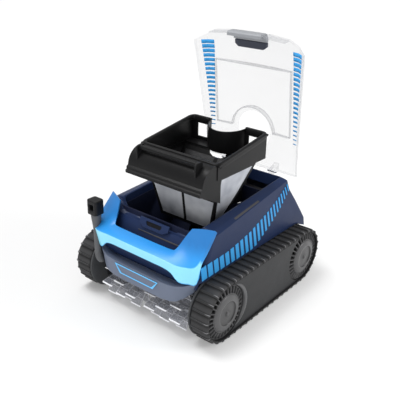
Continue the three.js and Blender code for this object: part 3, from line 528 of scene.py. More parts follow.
# Painted highlight on the bevel, then painted shade on the arms.
bevel_painted_highlight = add_node(tree, "Mix", {"B": (0.28, 0.74, 0.93, 1)}, data_type="RGBA")
arm_painted_shade = add_node(tree, "Mix", {"B": (0.75, 0.58, 0.62, 1)}, data_type="RGBA", blend_type="MULTIPLY")
grain_out = next(n for n in tree.nodes if n.type == "GROUP").outputs["Colour"]
wire(tree, (on_bevel.outputs["Fac"], bevel_painted_highlight.inputs["Factor"]), (on_arm.outputs["Fac"], arm_painted_shade.inputs["Factor"]),
     (grain_out, arm_painted_shade.inputs["A"]), (arm_painted_shade.outputs["Result"], bevel_painted_highlight.inputs["A"]),
     (bevel_painted_highlight.outputs["Result"], tree.nodes["Principled BSDF"].inputs["Base Color"]))

# ---------------------------------------------------------------- lower bumper and badge
# The grey lip under the handle, moulded in one piece with a ledge behind it. The badge is a flat
# plate with a raised pale-blue rim, left blank.


def softened(node, name, material, width=0.8, segments=2, angle=30, edge=None):
    """A copy of a CAD solid with its loose triangles merged and flat faces joined, then its edges
    rounded as a moulding's are."""
    source = nodes[node]
    mesh = source.data.copy()
    mesh.name = name
    work = bmesh.new()
    work.from_mesh(mesh)
    bmesh.ops.remove_doubles(work, verts=work.verts, dist=1e-5)
    bmesh.ops.dissolve_limit(work, angle_limit=math.radians(0.6), verts=work.verts, edges=work.edges)
    work.to_mesh(mesh)
    work.free()
    mesh.materials.clear()
    mesh.materials.append(material)
    if mesh.attributes.get("custom_normal"):
        mesh.attributes.remove(mesh.attributes["custom_normal"])
    mesh.shade_smooth()
    mesh.set_sharp_from_angle(angle=math.radians(angle))
    made = bpy.data.objects.new(name, mesh)
    bpy.context.scene.collection.objects.link(made)
    record = frame["record"]
    home = next(b for b, members in record["behaviour"]["bodies"].items() if node in members)
    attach(made, home)
    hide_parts(node)
    if edge:
        mesh.materials.append(edge)
    rounded(made, width, segments, angle, 1 if edge else -1)
    return made


lip_grey = plastic("lip_grey", (0.145, 0.170, 0.232), 0.36, grain=0.15)
# Stations along the lip: x, then (y, z) of its top and bottom front edges.
LIP = np.array([
    [0, -242, 135, -241, 90], [40, -242, 135, -241, 90], [76, -241.5, 135, -240, 90],
    [100, -239.5, 135.5, -236, 91], [114, -236, 136.5, -232, 94], [132, -227.5, 139.5, -222, 106],
    [148, -216, 145, -211, 121], [154, -209, 149, -206, 131],
])


def lip_skin():
    """Columns follow the lip from end to end; rows run in along its ledge, over the rounded top
    edge, down the gently hollowed face and back under it."""
    rows = []
    section = ((0, 26, -0.5), (0, 9, 0), (0, 2, 0), (0.01, 0.4, 0), (0.05, 0, 0), (0.5, 0.8, 0),
               (0.95, 0, 0), (0.99, 0.4, 0), (1, 2, 0), (1, 9, 0))
    for share, inward, drop in section:
        y = LIP[:, 1] + (LIP[:, 3] - LIP[:, 1]) * share + inward
        z = LIP[:, 2] + (LIP[:, 4] - LIP[:, 2]) * share + drop
        rows.append(np.stack([LIP[:, 0], y, z], 1))
    half = np.stack(rows, 1)
    return np.concatenate([half[:0:-1] * [-1, 1, 1], half])


lip_grid = lip_skin()
walls(piece("lower_bumper_skin", lip_grid, weave(*lip_grid.shape[:2]), lip_grey, "chassis",
            ["lower_bumper"], turn=True, crease=40), 3.0)
softened("badge_plate", "badge_skin", lip_grey, 0.4)

BADGE = np.array([[-70, 131], [70, 131], [54, 108], [-54, 108]], float)


def badge_rim():
    """A flat raised frame round the badge: outline, then the outline drawn in, as four
    closed loops through the frame's section."""
    middle = BADGE.mean(0)
    drawn_in = BADGE + np.sign(middle - BADGE) * [4.6, 2.6]
    loops = [np.column_stack([loop[:, 0], np.full(4, y), loop[:, 1]])
             for loop, y in ((BADGE, -243.3), (BADGE, -244.4), (drawn_in, -244.4), (drawn_in, -243.3))]
    return np.stack(loops)


pale_blue = plastic("badge_rim_blue", (0.16, 0.55, 0.95), 0.3, grain=0.05)
rounded(piece("badge_rim", badge_rim(), weave(4, 4, True, True), pale_blue, "chassis"), 0.3)

# ---------------------------------------------------------------- lifting post
# A grey tube socketed beside the lip with a black cap; the cap's square eye takes a lifting hook.
post_grey = plastic("post_grey", (0.105, 0.107, 0.112), 0.34, grain=0.2)
cap_black = plastic("cap_black", (0.012, 0.012, 0.013), 0.3, grain=0.2)
POST_X, POST_Y = -147.0, -228.0


def post_tube():
    """A turned profile of (radius, height), flared under the cap and swollen at the socket, that
    leans back at its foot."""
    turn = np.linspace(0, 2 * np.pi, 40, endpoint=False)
    profile = np.array([[0, 100], [8.4, 100], [9.6, 104], [9.8, 112], [8.9, 122], [8.9, 124], [9.3, 125],
                        [9.3, 127], [8.8, 128], [8.4, 160], [8.8, 188], [10.2, 205], [12.2, 218],
                        [12.8, 229], [12.2, 231], [0, 231]])
    radius, z = profile[:, 0, None], np.broadcast_to(profile[:, 1, None], (len(profile), len(turn)))
    lean = 3.5 * np.clip((124 - z) / 24, 0, 1) ** 2
    return np.stack([POST_X + radius * np.cos(turn) + 2 * lean, POST_Y + radius * np.sin(turn) + lean, z], -1)


tube_grid = post_tube()
piece("lift_post_tube", tube_grid, weave(*tube_grid.shape[:2], False, True), post_grey, "chassis",
      ["lift_post"], turn=True, crease=40)
softened("lift_post_cap", "lift_post_cap_skin", cap_black, 3.6, 4)

# ---------------------------------------------------------------- tracks
# Each track is one moulded rubber belt with a double cross rib at every pitch, running round the
# wheels beside a smooth flange plate.
TRACK_RADIUS, RIB_RISE = 75.7, 2.9
RIB_PITCHES = 50
RIB_STEPS = np.array([0, 0.03, 0.09, 0.12, 0.15, 0.20, 0.27, 0.60, 0.97])
RIB_HEIGHT = np.array([-0.1, 1, 1, 0.3, 0.85, 0.85, -0.1, 0.1, 0.25])
# RIB_TONE paints light and shade over each pitch: dark between the ribs, pale on their crests as a highlight.
RIB_TONE = np.array([0, 0.8, 0.8, 0, 0.55, 0.55, 0, 0.32, 0.42])
track_rubber = plastic("track_rubber", (0.040, 0.041, 0.043), 0.52, grain=0.5, mottle=0.22, scale=420)


def round_wheels(distance, radius):
    """Points (y, z) on the belt loop: two straight runs joined by half circles about the axles,
    for a distance along the loop at the tread's radius and a radius at each point."""
    bend = np.pi * TRACK_RADIUS
    base = 2 * AXLE_Y
    d = distance % (2 * base + 2 * bend)
    rear_turn = np.clip((d - base) / TRACK_RADIUS, 0, np.pi)
    front_turn = np.clip((d - 2 * base - bend) / TRACK_RADIUS, 0, np.pi)
    angle = rear_turn + front_turn - np.pi / 2
    y = np.clip(d, 0, base) - AXLE_Y - np.clip(d - base - bend, 0, base)
    return y + radius * np.cos(angle) * (np.abs(np.cos(angle)) > 1e-9), AXLE_Z + radius * np.sin(angle)


def belt(side):
    """Sweeps the belt's section round the loop; the outer points rise by the rib height at each
    step of the pitch, and the rib's end stands proud of the belt's edge."""
    steps = (np.arange(RIB_PITCHES)[:, None] + 0.43 + RIB_STEPS).ravel()
    pitch = (4 * AXLE_Y + 2 * np.pi * TRACK_RADIUS) / RIB_PITCHES
    height = np.tile(RIB_HEIGHT, RIB_PITCHES)
    section = np.array([[166.7, -4, 0], [167.3, -1.4, 0.6], [169, 0, 1], [180, 0.15, 1], [190.7, 0.2, 1],
                        [202, 0.15, 1], [212.6, 0, 1], [214.3, -1.0, 0.9], [215, -3.2, 0.5],
                        [215, -6.2, 0], [213.5, -6.6, 0], [168, -6.6, 0]])
    distance = np.repeat(steps * pitch, len(section)).reshape(-1, len(section))
    radius = TRACK_RADIUS - RIB_RISE + section[:, 1] + RIB_RISE * section[:, 2] * height[:, None]
    x = section[:, 0] + 0.9 * height[:, None] * (section[:, 0] > 214)
    y, z = round_wheels(distance, radius)
    # Painted highlight on the rib ends beyond the belt's edge, painted shade on the belt's inner face.
    tone = np.tile(RIB_TONE, RIB_PITCHES)[:, None] * np.where(section[:, 0] > 212, 1.3, 1.0)
    return np.stack([side * x, y, z], -1), np.where(section[:, 1] < -5, 0.1, tone)


def flange(side):
    """The belt's loop with a flat plate's section: out from the middle line, round the rim and back."""
    distance = np.linspace(0, 4 * AXLE_Y + 2 * np.pi * TRACK_RADIUS, 160, endpoint=False)
    section = np.array([[158.8, 0], [158.8, 62], [158.8, 71.5], [159.6, 73.4], [161.5, 74.2], [163.6, 73.4],
                        [164.4, 71.5], [164.4, 60], [164.4, 0]])
    distance = np.repeat(distance, len(section)).reshape(-1, len(section))
    y, z = round_wheels(distance, np.broadcast_to(section[:, 1], distance.shape))
    return np.stack([np.broadcast_to(side * section[:, 0], y.shape), y, z], -1)


flange_grey = plastic("flange_grey", (0.058, 0.060, 0.064), 0.42, grain=0.3)


def colour_ramp(tree, stops):
    """A colour ramp through (position, colour) stops."""
    ramp = add_node(tree, "ValToRGB")
    for k, (place, colour) in enumerate(stops):
        stop = ramp.color_ramp.elements[k] if k < 2 else ramp.color_ramp.elements.new(place)
        stop.position, stop.color = place, colour
    return ramp


def light_and_shade_from_tone(material, stops):
    """Feeds a plastic's colour from the mesh's tone value: recesses painted dark as shade, crests painted pale as
    highlights.
    """
    tree = material.node_tree
    value = add_node(tree, "Attribute", attribute_name="tone")
    ramp = colour_ramp(tree, [(place, (shade, shade, shade * 1.04, 1)) for place, shade in stops])
    grain_node = next(n for n in tree.nodes if n.type == "GROUP")
    wire(tree, (value.outputs["Fac"], ramp.inputs["Fac"]), (ramp.outputs["Color"], grain_node.inputs["Colour"]))


# The track's tone ramp: painted shade in the recesses, painted highlights on the crests and rib ends.
light_and_shade_from_tone(track_rubber, ((0.0, 0.008), (0.35, 0.042), (0.8, 0.06), (1.0, 0.26)))
for hand, side in HANDS:
    ring, tone = belt(side)
    made = piece(f"belt_{hand}", ring, weave(*ring.shape[:2], True, True), track_rubber, "chassis",
                 [f"track_belt_{hand}"], turn=side < 0, crease=34, merge=False)
    painted(made, "tone", tone)
    plate = flange(side)
    piece(f"flange_{hand}", plate, weave(*plate.shape[:2], True, False), flange_grey, "chassis",
          [f"side_frame_{hand}"], turn=side < 0, crease=40)

# ---------------------------------------------------------------- side covers
# A smooth grey cover closes each track between its wheels. It is cut round both wheels, and a
# raised crescent guards the back of the front one; its paler grey is a painted highlight.
COVER_HALF_HEIGHT, WHEEL_ROOM, COVER_WALL = 66.0, 67.6, 2.4
cover_grey = plastic("cover_grey", (0.034, 0.035, 0.037), 0.36, grain=0.25)


def cover(side):
    """Rows follow the two wheel arcs and the columns run between them; the face is crowned by a
    millimetre and its rim turns in by three."""
    v = np.concatenate([[-1, -1], np.linspace(-0.985, 0.985, 27), [1, 1]])
    u = np.concatenate([[0, 0], np.linspace(0.008, 0.992, 30), [1, 1]])
    grid_v, grid_u = np.meshgrid(v, u, indexing="ij")
    z = grid_v * COVER_HALF_HEIGHT
    reach = np.sqrt(np.clip(WHEEL_ROOM**2 - z**2, 0, None))
    y = (-AXLE_Y + reach) + grid_u * (2 * AXLE_Y - 2 * reach)
    x = 211 + 1.2 * np.sin(np.pi * grid_u) * np.cos(np.pi * grid_v / 2)
    edge = np.zeros_like(x)
    edge[0], edge[-1], edge[:, 0], edge[:, -1] = 3.5, 3.5, 3.5, 3.5
    return np.stack([side * (x - edge), y, z + AXLE_Z], -1)


def crescent(side):
    """A band round the back of the front wheel: the section's width and rise both fade to nothing
    towards its two ends."""
    turn = np.linspace(-1.02, 1.02, 40)[:, None]
    fullness = np.cos(turn / 1.02 * np.pi / 2) ** 0.6
    section = np.array([[0, 0], [0.04, 0.75], [0.16, 1], [0.75, 0.92], [0.95, 0.55], [1, -0.1]])
    radius = WHEEL_ROOM - 0.6 + section[:, 0] * 13 * fullness
    x = 209.5 + section[:, 1] * 6.4 * fullness
    return np.stack([side * x, -AXLE_Y + radius * np.cos(turn), AXLE_Z + radius * np.sin(turn)], -1)


# The crescent is painted a paler grey than the cover as a highlight.
crescent_painted_highlight = plastic("cover_lip_grey", (0.075, 0.076, 0.080), 0.28, grain=0.2, specular=0.5)
for hand, side in HANDS:
    sheet_points = cover(side)
    walls(piece(f"cover_{hand}", sheet_points, weave(*sheet_points.shape[:2]), cover_grey, "chassis",
                [f"side_cover_{hand}"], turn=side > 0, crease=40), COVER_WALL)
    lip_points = crescent(side)
    piece(f"cover_lip_{hand}", lip_points, weave(*lip_points.shape[:2]), crescent_painted_highlight, "chassis",
          turn=side > 0, crease=50)

# ---------------------------------------------------------------- wheels and hub caps
# Moulded wheels: an outer ring of short radial fins carries the belt, and a dished cap with a
# raised rim and a small boss covers the hub.
FIN_COUNT, POCKET_DEPTH = 30, 10
wheel_black = plastic("wheel_black", (0.040, 0.041, 0.044), 0.34, grain=0.3, specular=0.5)
cap_grey = plastic("cap_grey", (0.050, 0.051, 0.054), 0.26, grain=0.25, specular=0.5)
# Painted light and shade: dark in the fin pockets and the cap's groove, pale on the fin faces, the cap's rim and
# boss.
light_and_shade_from_tone(wheel_black, ((0.0, 0.004), (0.3, 0.016), (0.7, 0.10)))
light_and_shade_from_tone(cap_grey, ((0.0, 0.008), (0.5, 0.046), (1.0, 0.11)))


def fin_ring(side, y):
    """A disc of radius and angle whose face drops into a pocket between fins, then a drum wall
    running inward from its rim."""
    turn = np.linspace(0, 2 * np.pi, FIN_COUNT * 8, endpoint=False)
    phase = (turn * FIN_COUNT / (2 * np.pi)) % 1
    pocket = np.interp(phase, [0, 0.16, 0.28, 0.80, 0.92, 1], [0, 0, 1, 1, 0, 0])
    rows = np.array([[38, 209, 0], [45.4, 209, 0], [45.8, 212.8, 0], [47.2, 212.8, 0], [47.8, 212.4, 1],
                     [54, 211.6, 1], [61.5, 210.2, 1], [63.4, 209.8, 1], [64, 209.6, 0.1], [65.2, 209.2, 0],
                     [66, 208.4, 0], [66.2, 207, 0], [66.2, 170, 0]])
    x = rows[:, 1, None] - POCKET_DEPTH * rows[:, 2, None] * pocket
    radius = np.broadcast_to(rows[:, 0, None], x.shape)
    # Painted shade in the pockets between the fins, painted highlight on the fin faces.
    tone = np.where(rows[:, 0, None] < 64.5, 0.7 - 0.7 * rows[:, 2, None] * pocket, 0.25)
    return np.stack([side * x, y + radius * np.cos(turn), AXLE_Z + radius * np.sin(turn)], -1), tone


def hub_cap(side, y):
    """A turned profile of (radius, x): boss, dish, raised rim and skirt."""
    turn = np.linspace(0, 2 * np.pi, 72, endpoint=False)
    profile = np.array([[0, 218.6], [3, 218.4], [5.4, 217.4], [7, 215.6], [8.5, 215.0], [20, 214.6],
                        [28.6, 214.2], [29.4, 214.6], [30.2, 216.8], [31.2, 217.2], [33, 217.0],
                        [43, 214.2], [44.6, 213.4], [45.2, 212], [45.2, 208]])
    # shade is painted light along the profile: dark in the groove inside the rim, pale on the boss and rim.
    shade = np.array([0.9, 0.8, 0.5, 0.1, 0.5, 0.55, 0.4, 0.0, 0.5, 0.9, 0.7, 0.6, 0.9, 0.2, 0])
    radius, x = profile[:, 0, None], np.broadcast_to(profile[:, 1, None], (len(profile), len(turn)))
    points = np.stack([side * x, y + radius * np.cos(turn), AXLE_Z + radius * np.sin(turn)], -1)
    return points, np.broadcast_to(shade[:, None], x.shape)


for hand, side in HANDS:
    for place, y in (("front", -AXLE_Y), ("rear", AXLE_Y)):
        body = f"wheel_{place}_{hand}_body"
        disc, tone = fin_ring(side, y)
        made = piece(f"fin_ring_{place}_{hand}", disc, weave(*disc.shape[:2], False, True), wheel_black, body,
                     [f"wheel_{place}_{hand}"], turn=side < 0, crease=30, merge=False)
        painted(made, "tone", tone)
        cap, tone = hub_cap(side, y)
        made = piece(f"cap_{place}_{hand}", cap, weave(*cap.shape[:2], False, True), cap_grey, body,
                     [f"hub_cap_{place}_{hand}"], turn=side < 0, crease=50, merge=False)
        painted(made, "tone", tone)

# ---------------------------------------------------------------- front brush
# Two clear rubber sleeves on a steel shaft. Each carries three rows of flat rectangular paddles
# with a thicker rim, set in turn half a step apart.
BRUSH_Y, BRUSH_Z = -186.0, 53.0
PADDLES = 8
PADDLE_ROOT, PADDLE_REACH, PADDLE_HALF = 11.5, 39.5, 17.2
clear_rubber, tree, clear_shader = new_material("clear_rubber", {"Roughness": 0.16})
on_rim = add_node(tree, "Attribute", attribute_name="rim")
cloud = add_node(tree, "TexNoise", {"Scale": 70})
cloud_place = add_node(tree, "TexCoord")
# rim_tone paints light: the thick rims white, as light gathered in the clear rubber's edges.
rim_tone = colour_ramp(tree, ((0.25, (0.30, 0.31, 0.35, 1)), (0.85, (0.95, 0.96, 1.0, 1))))
solid_share = add_node(tree, "MapRange", {"From Min": 0.2, "From Max": 0.9, "To Min": 0.42, "To Max": 0.95})
cloud_bump = add_node(tree, "Bump", {"Strength": 0.3, "Distance": 0.001})
wire(tree, (cloud_place.outputs["Object"], cloud.inputs["Vector"]),
     (on_rim.outputs["Fac"], rim_tone.inputs["Fac"]),
     (rim_tone.outputs["Color"], clear_shader.inputs["Base Color"]),
     (on_rim.outputs["Fac"], solid_share.inputs["Value"]),
     (solid_share.outputs["Result"], clear_shader.inputs["Alpha"]),
     (cloud.outputs["Fac"], cloud_bump.inputs["Height"]),
     (cloud_bump.outputs["Normal"], clear_shader.inputs["Normal"]))


def paddles(side):
    """Each paddle is a closed plate: a grid across its width and out along its radius, thin in
    the middle with a thick rolled rim, swept back a little towards the tip. The rim is also
    returned as a value, since it is painted white as light gathered in the clear rubber's thick edges."""
    across = np.array([-1, -0.97, -0.90, -0.82, 0, 0.82, 0.90, 0.97, 1])
    outward = np.array([0, 0.15, 0.46, 0.50, 0.54, 0.90, 0.95, 1])
    u, v = np.meshgrid(across, outward, indexing="ij")
    rim = np.maximum(0.45 * (np.abs(u) > 0.85), (v > 0.93) + 0.7 * (v == 0.50))
    thick = np.where(rim > 0, 1.5, 0.6) * np.where((np.abs(u) > 0.98) | (v > 0.98), 0.45, 1)
    column, turn = np.meshgrid(np.arange(3), np.arange(PADDLES), indexing="ij")
    middle = side * (10 + 20.5 + 40.6 * column.ravel())
    angle = (turn.ravel() + 0.5 * (column.ravel() % 2)) * 2 * np.pi / PADDLES + (0.2 if side > 0 else 0.0)
    radius = PADDLE_ROOT + PADDLE_REACH * v
    swept = angle[:, None, None] + 0.10 * v**2
    width = PADDLE_HALF * (1 - 0.1 * (1 - v)) * np.where(v > 0.9, 1 - (v - 0.9) * 0.7, 1)
    layers = []
    for face in (1, -1):
        y = BRUSH_Y + radius * np.cos(swept) - face * thick * np.sin(swept)
        z = BRUSH_Z + radius * np.sin(swept) + face * thick * np.cos(swept)
        x = np.broadcast_to(middle[:, None, None] + width * u, y.shape)
        layers.append(np.stack([x, y, z], -1))
    points = np.stack(layers, 1)
    count = u.size
    sheet = weave(9, 8)
    border = np.concatenate([np.arange(8), np.arange(1, 9) * 8 + 7, 64 + np.arange(6, -1, -1),
                             np.arange(7, 0, -1) * 8])
    after = np.roll(border, -1)
    wall_quads = np.stack([border, after, after + count, border + count], 1)
    one = np.concatenate([sheet, sheet[:, ::-1] + count, wall_quads[:, ::-1]])
    faces = np.concatenate([one + 2 * count * k for k in range(len(middle))])
    return points.reshape(-1, 3), faces, np.broadcast_to(rim, points.shape[:-1]).ravel()


def sleeve_core(side):
    """A turned tube round the shaft, with its ends chamfered."""
    turn = np.linspace(0, 2 * np.pi, 32, endpoint=False)
    profile = np.array([[4.6, 9], [11, 9], [12.6, 10], [12.6, 130.6], [11, 132], [4.6, 132]])
    radius, x = profile[:, 0, None], np.broadcast_to(profile[:, 1, None], (len(profile), len(turn)))
    return np.stack([side * x, BRUSH_Y + radius * np.cos(turn), BRUSH_Z + radius * np.sin(turn)], -1)


def facing_out(made, close_ends=False):
    """Turns every face outwards, after closing the open ends of a sweep if asked."""
    work = bmesh.new()
    work.from_mesh(made.data)
    if close_ends:
        bmesh.ops.holes_fill(work, edges=[e for e in work.edges if e.is_boundary])
    bmesh.ops.recalc_face_normals(work, faces=work.faces)
    work.to_mesh(made.data)
    work.free()


CORE_TONE = 0.35
for hand, side in HANDS:
    core = sleeve_core(side)
    fin_points, fin_faces, fin_rim = paddles(side)
    all_points = np.concatenate([core.reshape(-1, 3), fin_points])
    all_faces = np.concatenate([weave(*core.shape[:2], True, True), fin_faces + core.size // 3])
    brush_piece = piece(f"brush_{hand}", all_points, all_faces, clear_rubber, "brush",
                        [f"brush_sleeve_{hand}"], turn=side > 0, crease=40, merge=False)
    painted(brush_piece, "rim", np.concatenate([np.full(core.size // 3, CORE_TONE), fin_rim]))
    facing_out(brush_piece)

# ---------------------------------------------------------------- debris canister
# A black moulded basket with a half-round block across its front, a stepped lip under that and a
# bar to lift it by. Fine steel gauze is moulded into its windows.
canister_black = plastic("canister_black", (0.0085, 0.0085, 0.009), 0.26, grain=0.22, mottle=0.12)
softened("canister_frame", "canister_frame_skin", canister_black, 1.0, 2)
softened("canister_grip", "canister_grip_skin", canister_black, 0.9, 2)
softened("inlet_flap", "inlet_flap_skin", canister_black, 0.3, 2)

CAN_RAISED = 135.0
RIM_Y, RIM_Z = (-93.0, 98.5), (250.0, 278.0)
RIM_HALF, RIM_CORNER = 117.0, 13.0


def rolled_rim():
    """An open sweep round the basket's rim, from one side of the outlet notch to the other: a
    rounded bead is placed square to the path, with the path's own slope giving its height."""
    turn = np.linspace(0, np.pi / 2, 8)
    x0, y0, y1, r = RIM_HALF, RIM_Y[0], RIM_Y[1], RIM_CORNER
    half = np.concatenate([
        np.stack([np.linspace(56, x0 - r, 4), np.full(4, y1)], 1)[:-1],
        np.stack([x0 - r + r * np.sin(turn), y1 - r + r * np.cos(turn)], 1),
        np.stack([np.full(12, x0), np.linspace(y1 - r, y0 + r, 12)], 1)[1:-1],
        np.stack([x0 - r + r * np.cos(turn), y0 + r - r * np.sin(turn)], 1),
        np.stack([np.linspace(x0 - r, 0, 8), np.full(8, y0)], 1)[1:],
    ])
    path = np.concatenate([half, half[-2::-1] * [-1, 1]])
    ahead = np.gradient(path, axis=0)
    ahead /= np.linalg.norm(ahead, axis=1, keepdims=True)
    outward = np.stack([-ahead[:, 1], ahead[:, 0]], 1)
    section = np.array([[1.4, -12], [3.2, -11.4], [3.6, -10.2], [3.6, -5.6], [2.2, -4.8], [2.2, -3.2],
                        [4.4, -2.4], [5.2, -1], [5.2, 0.8], [4.2, 2.6], [2.2, 3.4], [-2.4, 3.4],
                        [-4.2, 2.4], [-4.8, 0.4], [-4.4, -9]])
    rise = np.interp(path[:, 1], RIM_Y, RIM_Z) + CAN_RAISED
    xy = path[:, None, :] + outward[:, None, :] * section[None, :, :1]
    return np.concatenate([xy, (rise[:, None] + section[None, :, 1])[..., None]], -1)


rim_grid = rolled_rim()
facing_out(piece("canister_rim_roll", rim_grid, weave(*rim_grid.shape[:2], False, True), canister_black,
                 "canister", crease=42), close_ends=True)

gauze, tree, gauze_shader = new_material("sieve_gauze", {"Roughness": 0.42, "Metallic": 0.25})
gauze_place = add_node(tree, "TexCoord")
threads = [add_node(tree, "TexWave", {"Scale": 260}, bands_direction=way) for way in ("X", "Z")]
cross = add_node(tree, "Math", operation="MAXIMUM")
gauze_cloud = add_node(tree, "TexNoise", {"Scale": 14})
gauze_ramp = colour_ramp(tree, ((0.35, (0.36, 0.38, 0.43, 1)), (0.7, (0.78, 0.80, 0.84, 1))))
gauze_bump = add_node(tree, "Bump", {"Strength": 0.4, "Distance": 0.0005})
# Faces that look in to the basket are in its shade, so they take a darker tone: their normal
# points back at the basket's middle line.
gauze_face = add_node(tree, "NewGeometry")
level_place = add_node(tree, "VectorMath", {1: (1, 1, 0)}, operation="MULTIPLY")
inward = add_node(tree, "VectorMath", operation="DOT_PRODUCT")
shaded = add_node(tree, "Math", {1: 0.0}, operation="LESS_THAN")
gauze_mix = add_node(tree, "Mix", {"B": (0.02, 0.02, 0.022, 1)}, data_type="RGBA")
wire(tree, *[(gauze_place.outputs["Object"], thread.inputs["Vector"]) for thread in threads],
     (threads[0].outputs["Fac"], cross.inputs[0]), (threads[1].outputs["Fac"], cross.inputs[1]),
     (gauze_place.outputs["Object"], gauze_cloud.inputs["Vector"]),
     (gauze_cloud.outputs["Fac"], gauze_ramp.inputs["Fac"]),
     (gauze_place.outputs["Object"], level_place.inputs[0]),
     (level_place.outputs["Vector"], inward.inputs[0]), (gauze_face.outputs["Normal"], inward.inputs[1]),
     (inward.outputs["Value"], shaded.inputs[0]), (shaded.outputs[0], gauze_mix.inputs["Factor"]),
     (gauze_ramp.outputs["Color"], gauze_mix.inputs["A"]),
     (gauze_mix.outputs["Result"], gauze_shader.inputs["Base Color"]),
     (cross.outputs[0], gauze_bump.inputs["Height"]),
     (gauze_bump.outputs["Normal"], gauze_shader.inputs["Normal"]))
for kind in ("front", "side", "rear"):
    for hand in ("left", "right"):
        panel = nodes[f"{kind}_mesh_{hand}"]
        panel.data.materials.clear()
        panel.data.materials.append(gauze)

# ---------------------------------------------------------------- clear lid
# One clear polycarbonate moulding, domed and folded down at its sides and front, with a sealing
# rib on its inner face, hinge arms at its rear and a round hole for the outlet.
crystal, tree, crystal_shader = new_material(
    "clear_polycarbonate", {"Base Color": (0.36, 0.37, 0.40, 1), "Roughness": 0.06})
edge_view = add_node(tree, "LayerWeight", {"Blend": 0.35})
edge_curve = add_node(tree, "MapRange", {"From Min": 0.15, "From Max": 0.95, "To Min": 0.09, "To Max": 0.36})
haze = add_node(tree, "TexNoise", {"Scale": 9})
haze_place = add_node(tree, "TexCoord")
haze_bump = add_node(tree, "Bump", {"Strength": 0.08, "Distance": 0.002})
wire(tree, (edge_view.outputs["Facing"], edge_curve.inputs["Value"]),
     (edge_curve.outputs["Result"], crystal_shader.inputs["Alpha"]),
     (haze_place.outputs["Object"], haze.inputs["Vector"]),
     (haze.outputs["Fac"], haze_bump.inputs["Height"]),
     (haze_bump.outputs["Normal"], crystal_shader.inputs["Normal"]))
# Light gathers in the moulding's rounded edges, so they show as fine grey lines.
crystal_edge = plastic("polycarbonate_edge", (0.10, 0.10, 0.14), 0.2, grain=0.05)
crystal_edge.node_tree.nodes["Principled BSDF"].inputs["Alpha"].default_value = 0.62
softened("lid_shell", "lid_skin", crystal, 0.9, 2, angle=14, edge=crystal_edge)
softened("lid_seal_rib", "seal_rib_skin", crystal, 0.7, 2, angle=24, edge=crystal_edge)

# The ladder of blue bars printed inside each side of the lid thins towards the hinge.
LID_PIVOT = np.array([0, 200.0, 274.0])
LID_OPEN = math.radians(-83.6)
RIB_PLANE = 14.6
# Rows of distance from the hinge, then (x, z) of the side facet's foot, its fold and the next fold.
LID_SECTION = np.array([
    [-6, 146, 1, 140, 6, 118, 8], [24, 147.5, -2, 139, 7, 118, 11], [90, 151, -4, 139, 7, 118, 11],
    [200, 158, -8, 139, 8, 118, 13], [300, 164, -11, 140, 7, 118, 13], [342, 165.5, -14, 140, 5, 118, 9],
    [364, 166, -18, 140, 1, 118, 4],
])
LADDER_COUNT, LADDER_WALL = 20, 0.5


def opened(out_along, z):
    """Turns a point of the shut lid, given by its distance out from the pivot and its height, to
    its (y, z) with the lid open."""
    return (LID_PIVOT[1] - out_along * math.cos(LID_OPEN) - z * math.sin(LID_OPEN),
            LID_PIVOT[2] - out_along * math.sin(LID_OPEN) + z * math.cos(LID_OPEN))


def ladder(side):
    """Bars bent over the lid's side fold. A bar is placed by a fold coordinate, 0 at the facet's
    foot, 1 at the fold and 2 at the next one, and read off the lid's sections by interpolation."""
    k = np.arange(LADDER_COUNT)
    middle = np.interp(k, [0, LADDER_COUNT - 1], [84, 318])
    length = np.interp(k, [0, 6, LADDER_COUNT - 1], [2.4, 6.0, 10.4])
    low = np.interp(k, [0, 6, LADDER_COUNT - 1], [0.85, 0.7, 0.38])
    high = np.interp(k, [0, 6, LADDER_COUNT - 1], [1.5, 1.6, 1.84])
    fold = np.stack([low, (low + 1) / 2, np.ones_like(low), (high + 1) / 2, high], 1)
    out_along = middle[:, None, None] + length[:, None, None] * np.array([-0.5, 0.5])[:, None]
    out_along, fold = np.broadcast_arrays(out_along, fold[:, None, :])
    foot_x, foot_z, fold_x, fold_z, next_x, next_z = (
        np.interp(out_along, LID_SECTION[:, 0], LID_SECTION[:, c]) for c in range(1, 7))
    before, after = np.clip(fold, 0, 1), np.clip(fold - 1, 0, 1)
    inside_x, inside_z = (np.interp(fold, [0, 1, 2], sunk) for sunk in ([2.9, 1.7, 0.5], [1.8, 2.9, 3.2]))
    x = foot_x + (fold_x - foot_x) * before + (next_x - fold_x) * after - inside_x
    z = foot_z + (fold_z - foot_z) * before + (next_z - fold_z) * after - inside_z
    y_open, z_open = opened(out_along, z + RIB_PLANE)
    points = np.stack([side * x, y_open, z_open], -1).reshape(-1, 3)
    return points, np.concatenate([weave(2, 5) + 10 * i for i in range(LADDER_COUNT)])


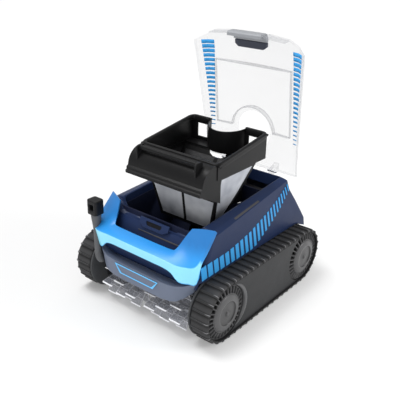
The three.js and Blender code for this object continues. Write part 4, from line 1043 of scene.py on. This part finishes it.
for hand, side in HANDS:
    points, faces = ladder(side)
    walls(piece(f"lid_ladder_{hand}", points, faces, bar_blue, "lid", [f"lid_stripe_{hand}"],
                turn=side < 0, crease=60, merge=False), LADDER_WALL)

# The latch is a grey hooded pull pinned in a window at the lid's front edge.
latch_grey = plastic("latch_grey", (0.30, 0.31, 0.33), 0.3, grain=0.2)
softened("lid_latch", "lid_latch_skin", latch_grey, 1.0, 3)
# A dark grip pad is screwed under it on the lid's inner face: its outline is drawn in the lid's
# own plane, at two depths.
PAD = np.array([[-48, 336.5], [48, 336.5], [48, 326], [38, 318], [-38, 318], [-48, 326]], float)
pad_rings = [np.column_stack([PAD[:, 0], *opened(PAD[:, 1], depth)]) for depth in (24.0, 15.0)]
pad_ends = [[0, 1, 2, 5], [5, 2, 3, 4], [11, 8, 7, 6], [10, 9, 8, 11]]
pad_grey = plastic("pad_grey", (0.05, 0.055, 0.075), 0.4)
pad = piece("latch_pad", np.stack(pad_rings), np.concatenate([weave(2, 6, False, True), pad_ends]), pad_grey,
            "lid")
facing_out(pad)
rounded(pad, 1.2)

# ---------------------------------------------------------------- everything inside
# The tub, pump, battery, motors and gears keep their solids and are moulded in plain black or
# turned in steel.
inner_black = plastic("inner_black", (0.016, 0.016, 0.018), 0.42, grain=0.3)
tub_navy = plastic("tub_navy", (0.014, 0.018, 0.042), 0.36, grain=0.25)
turned_steel, tree, steel_shader = new_material(
    "turned_steel", {"Base Color": (0.55, 0.56, 0.58, 1), "Metallic": 1.0})
steel_noise = add_node(tree, "TexNoise", {"Scale": 300})
steel_place = add_node(tree, "TexCoord")
steel_rough = add_node(tree, "MapRange", {"To Min": 0.22, "To Max": 0.42})
wire(tree, (steel_place.outputs["Object"], steel_noise.inputs["Vector"]),
     (steel_noise.outputs["Fac"], steel_rough.inputs["Value"]),
     (steel_rough.outputs["Result"], steel_shader.inputs["Roughness"]))
KEPT = {"steel": turned_steel, "navy_shell": tub_navy, "black_plastic": inner_black}
for entry in frame["record"]["subparts"]:
    node = nodes[entry["node"]]
    if not node.hide_render and entry["material_slot"] in KEPT:
        node.data.materials.clear()
        node.data.materials.append(KEPT[entry["material_slot"]])
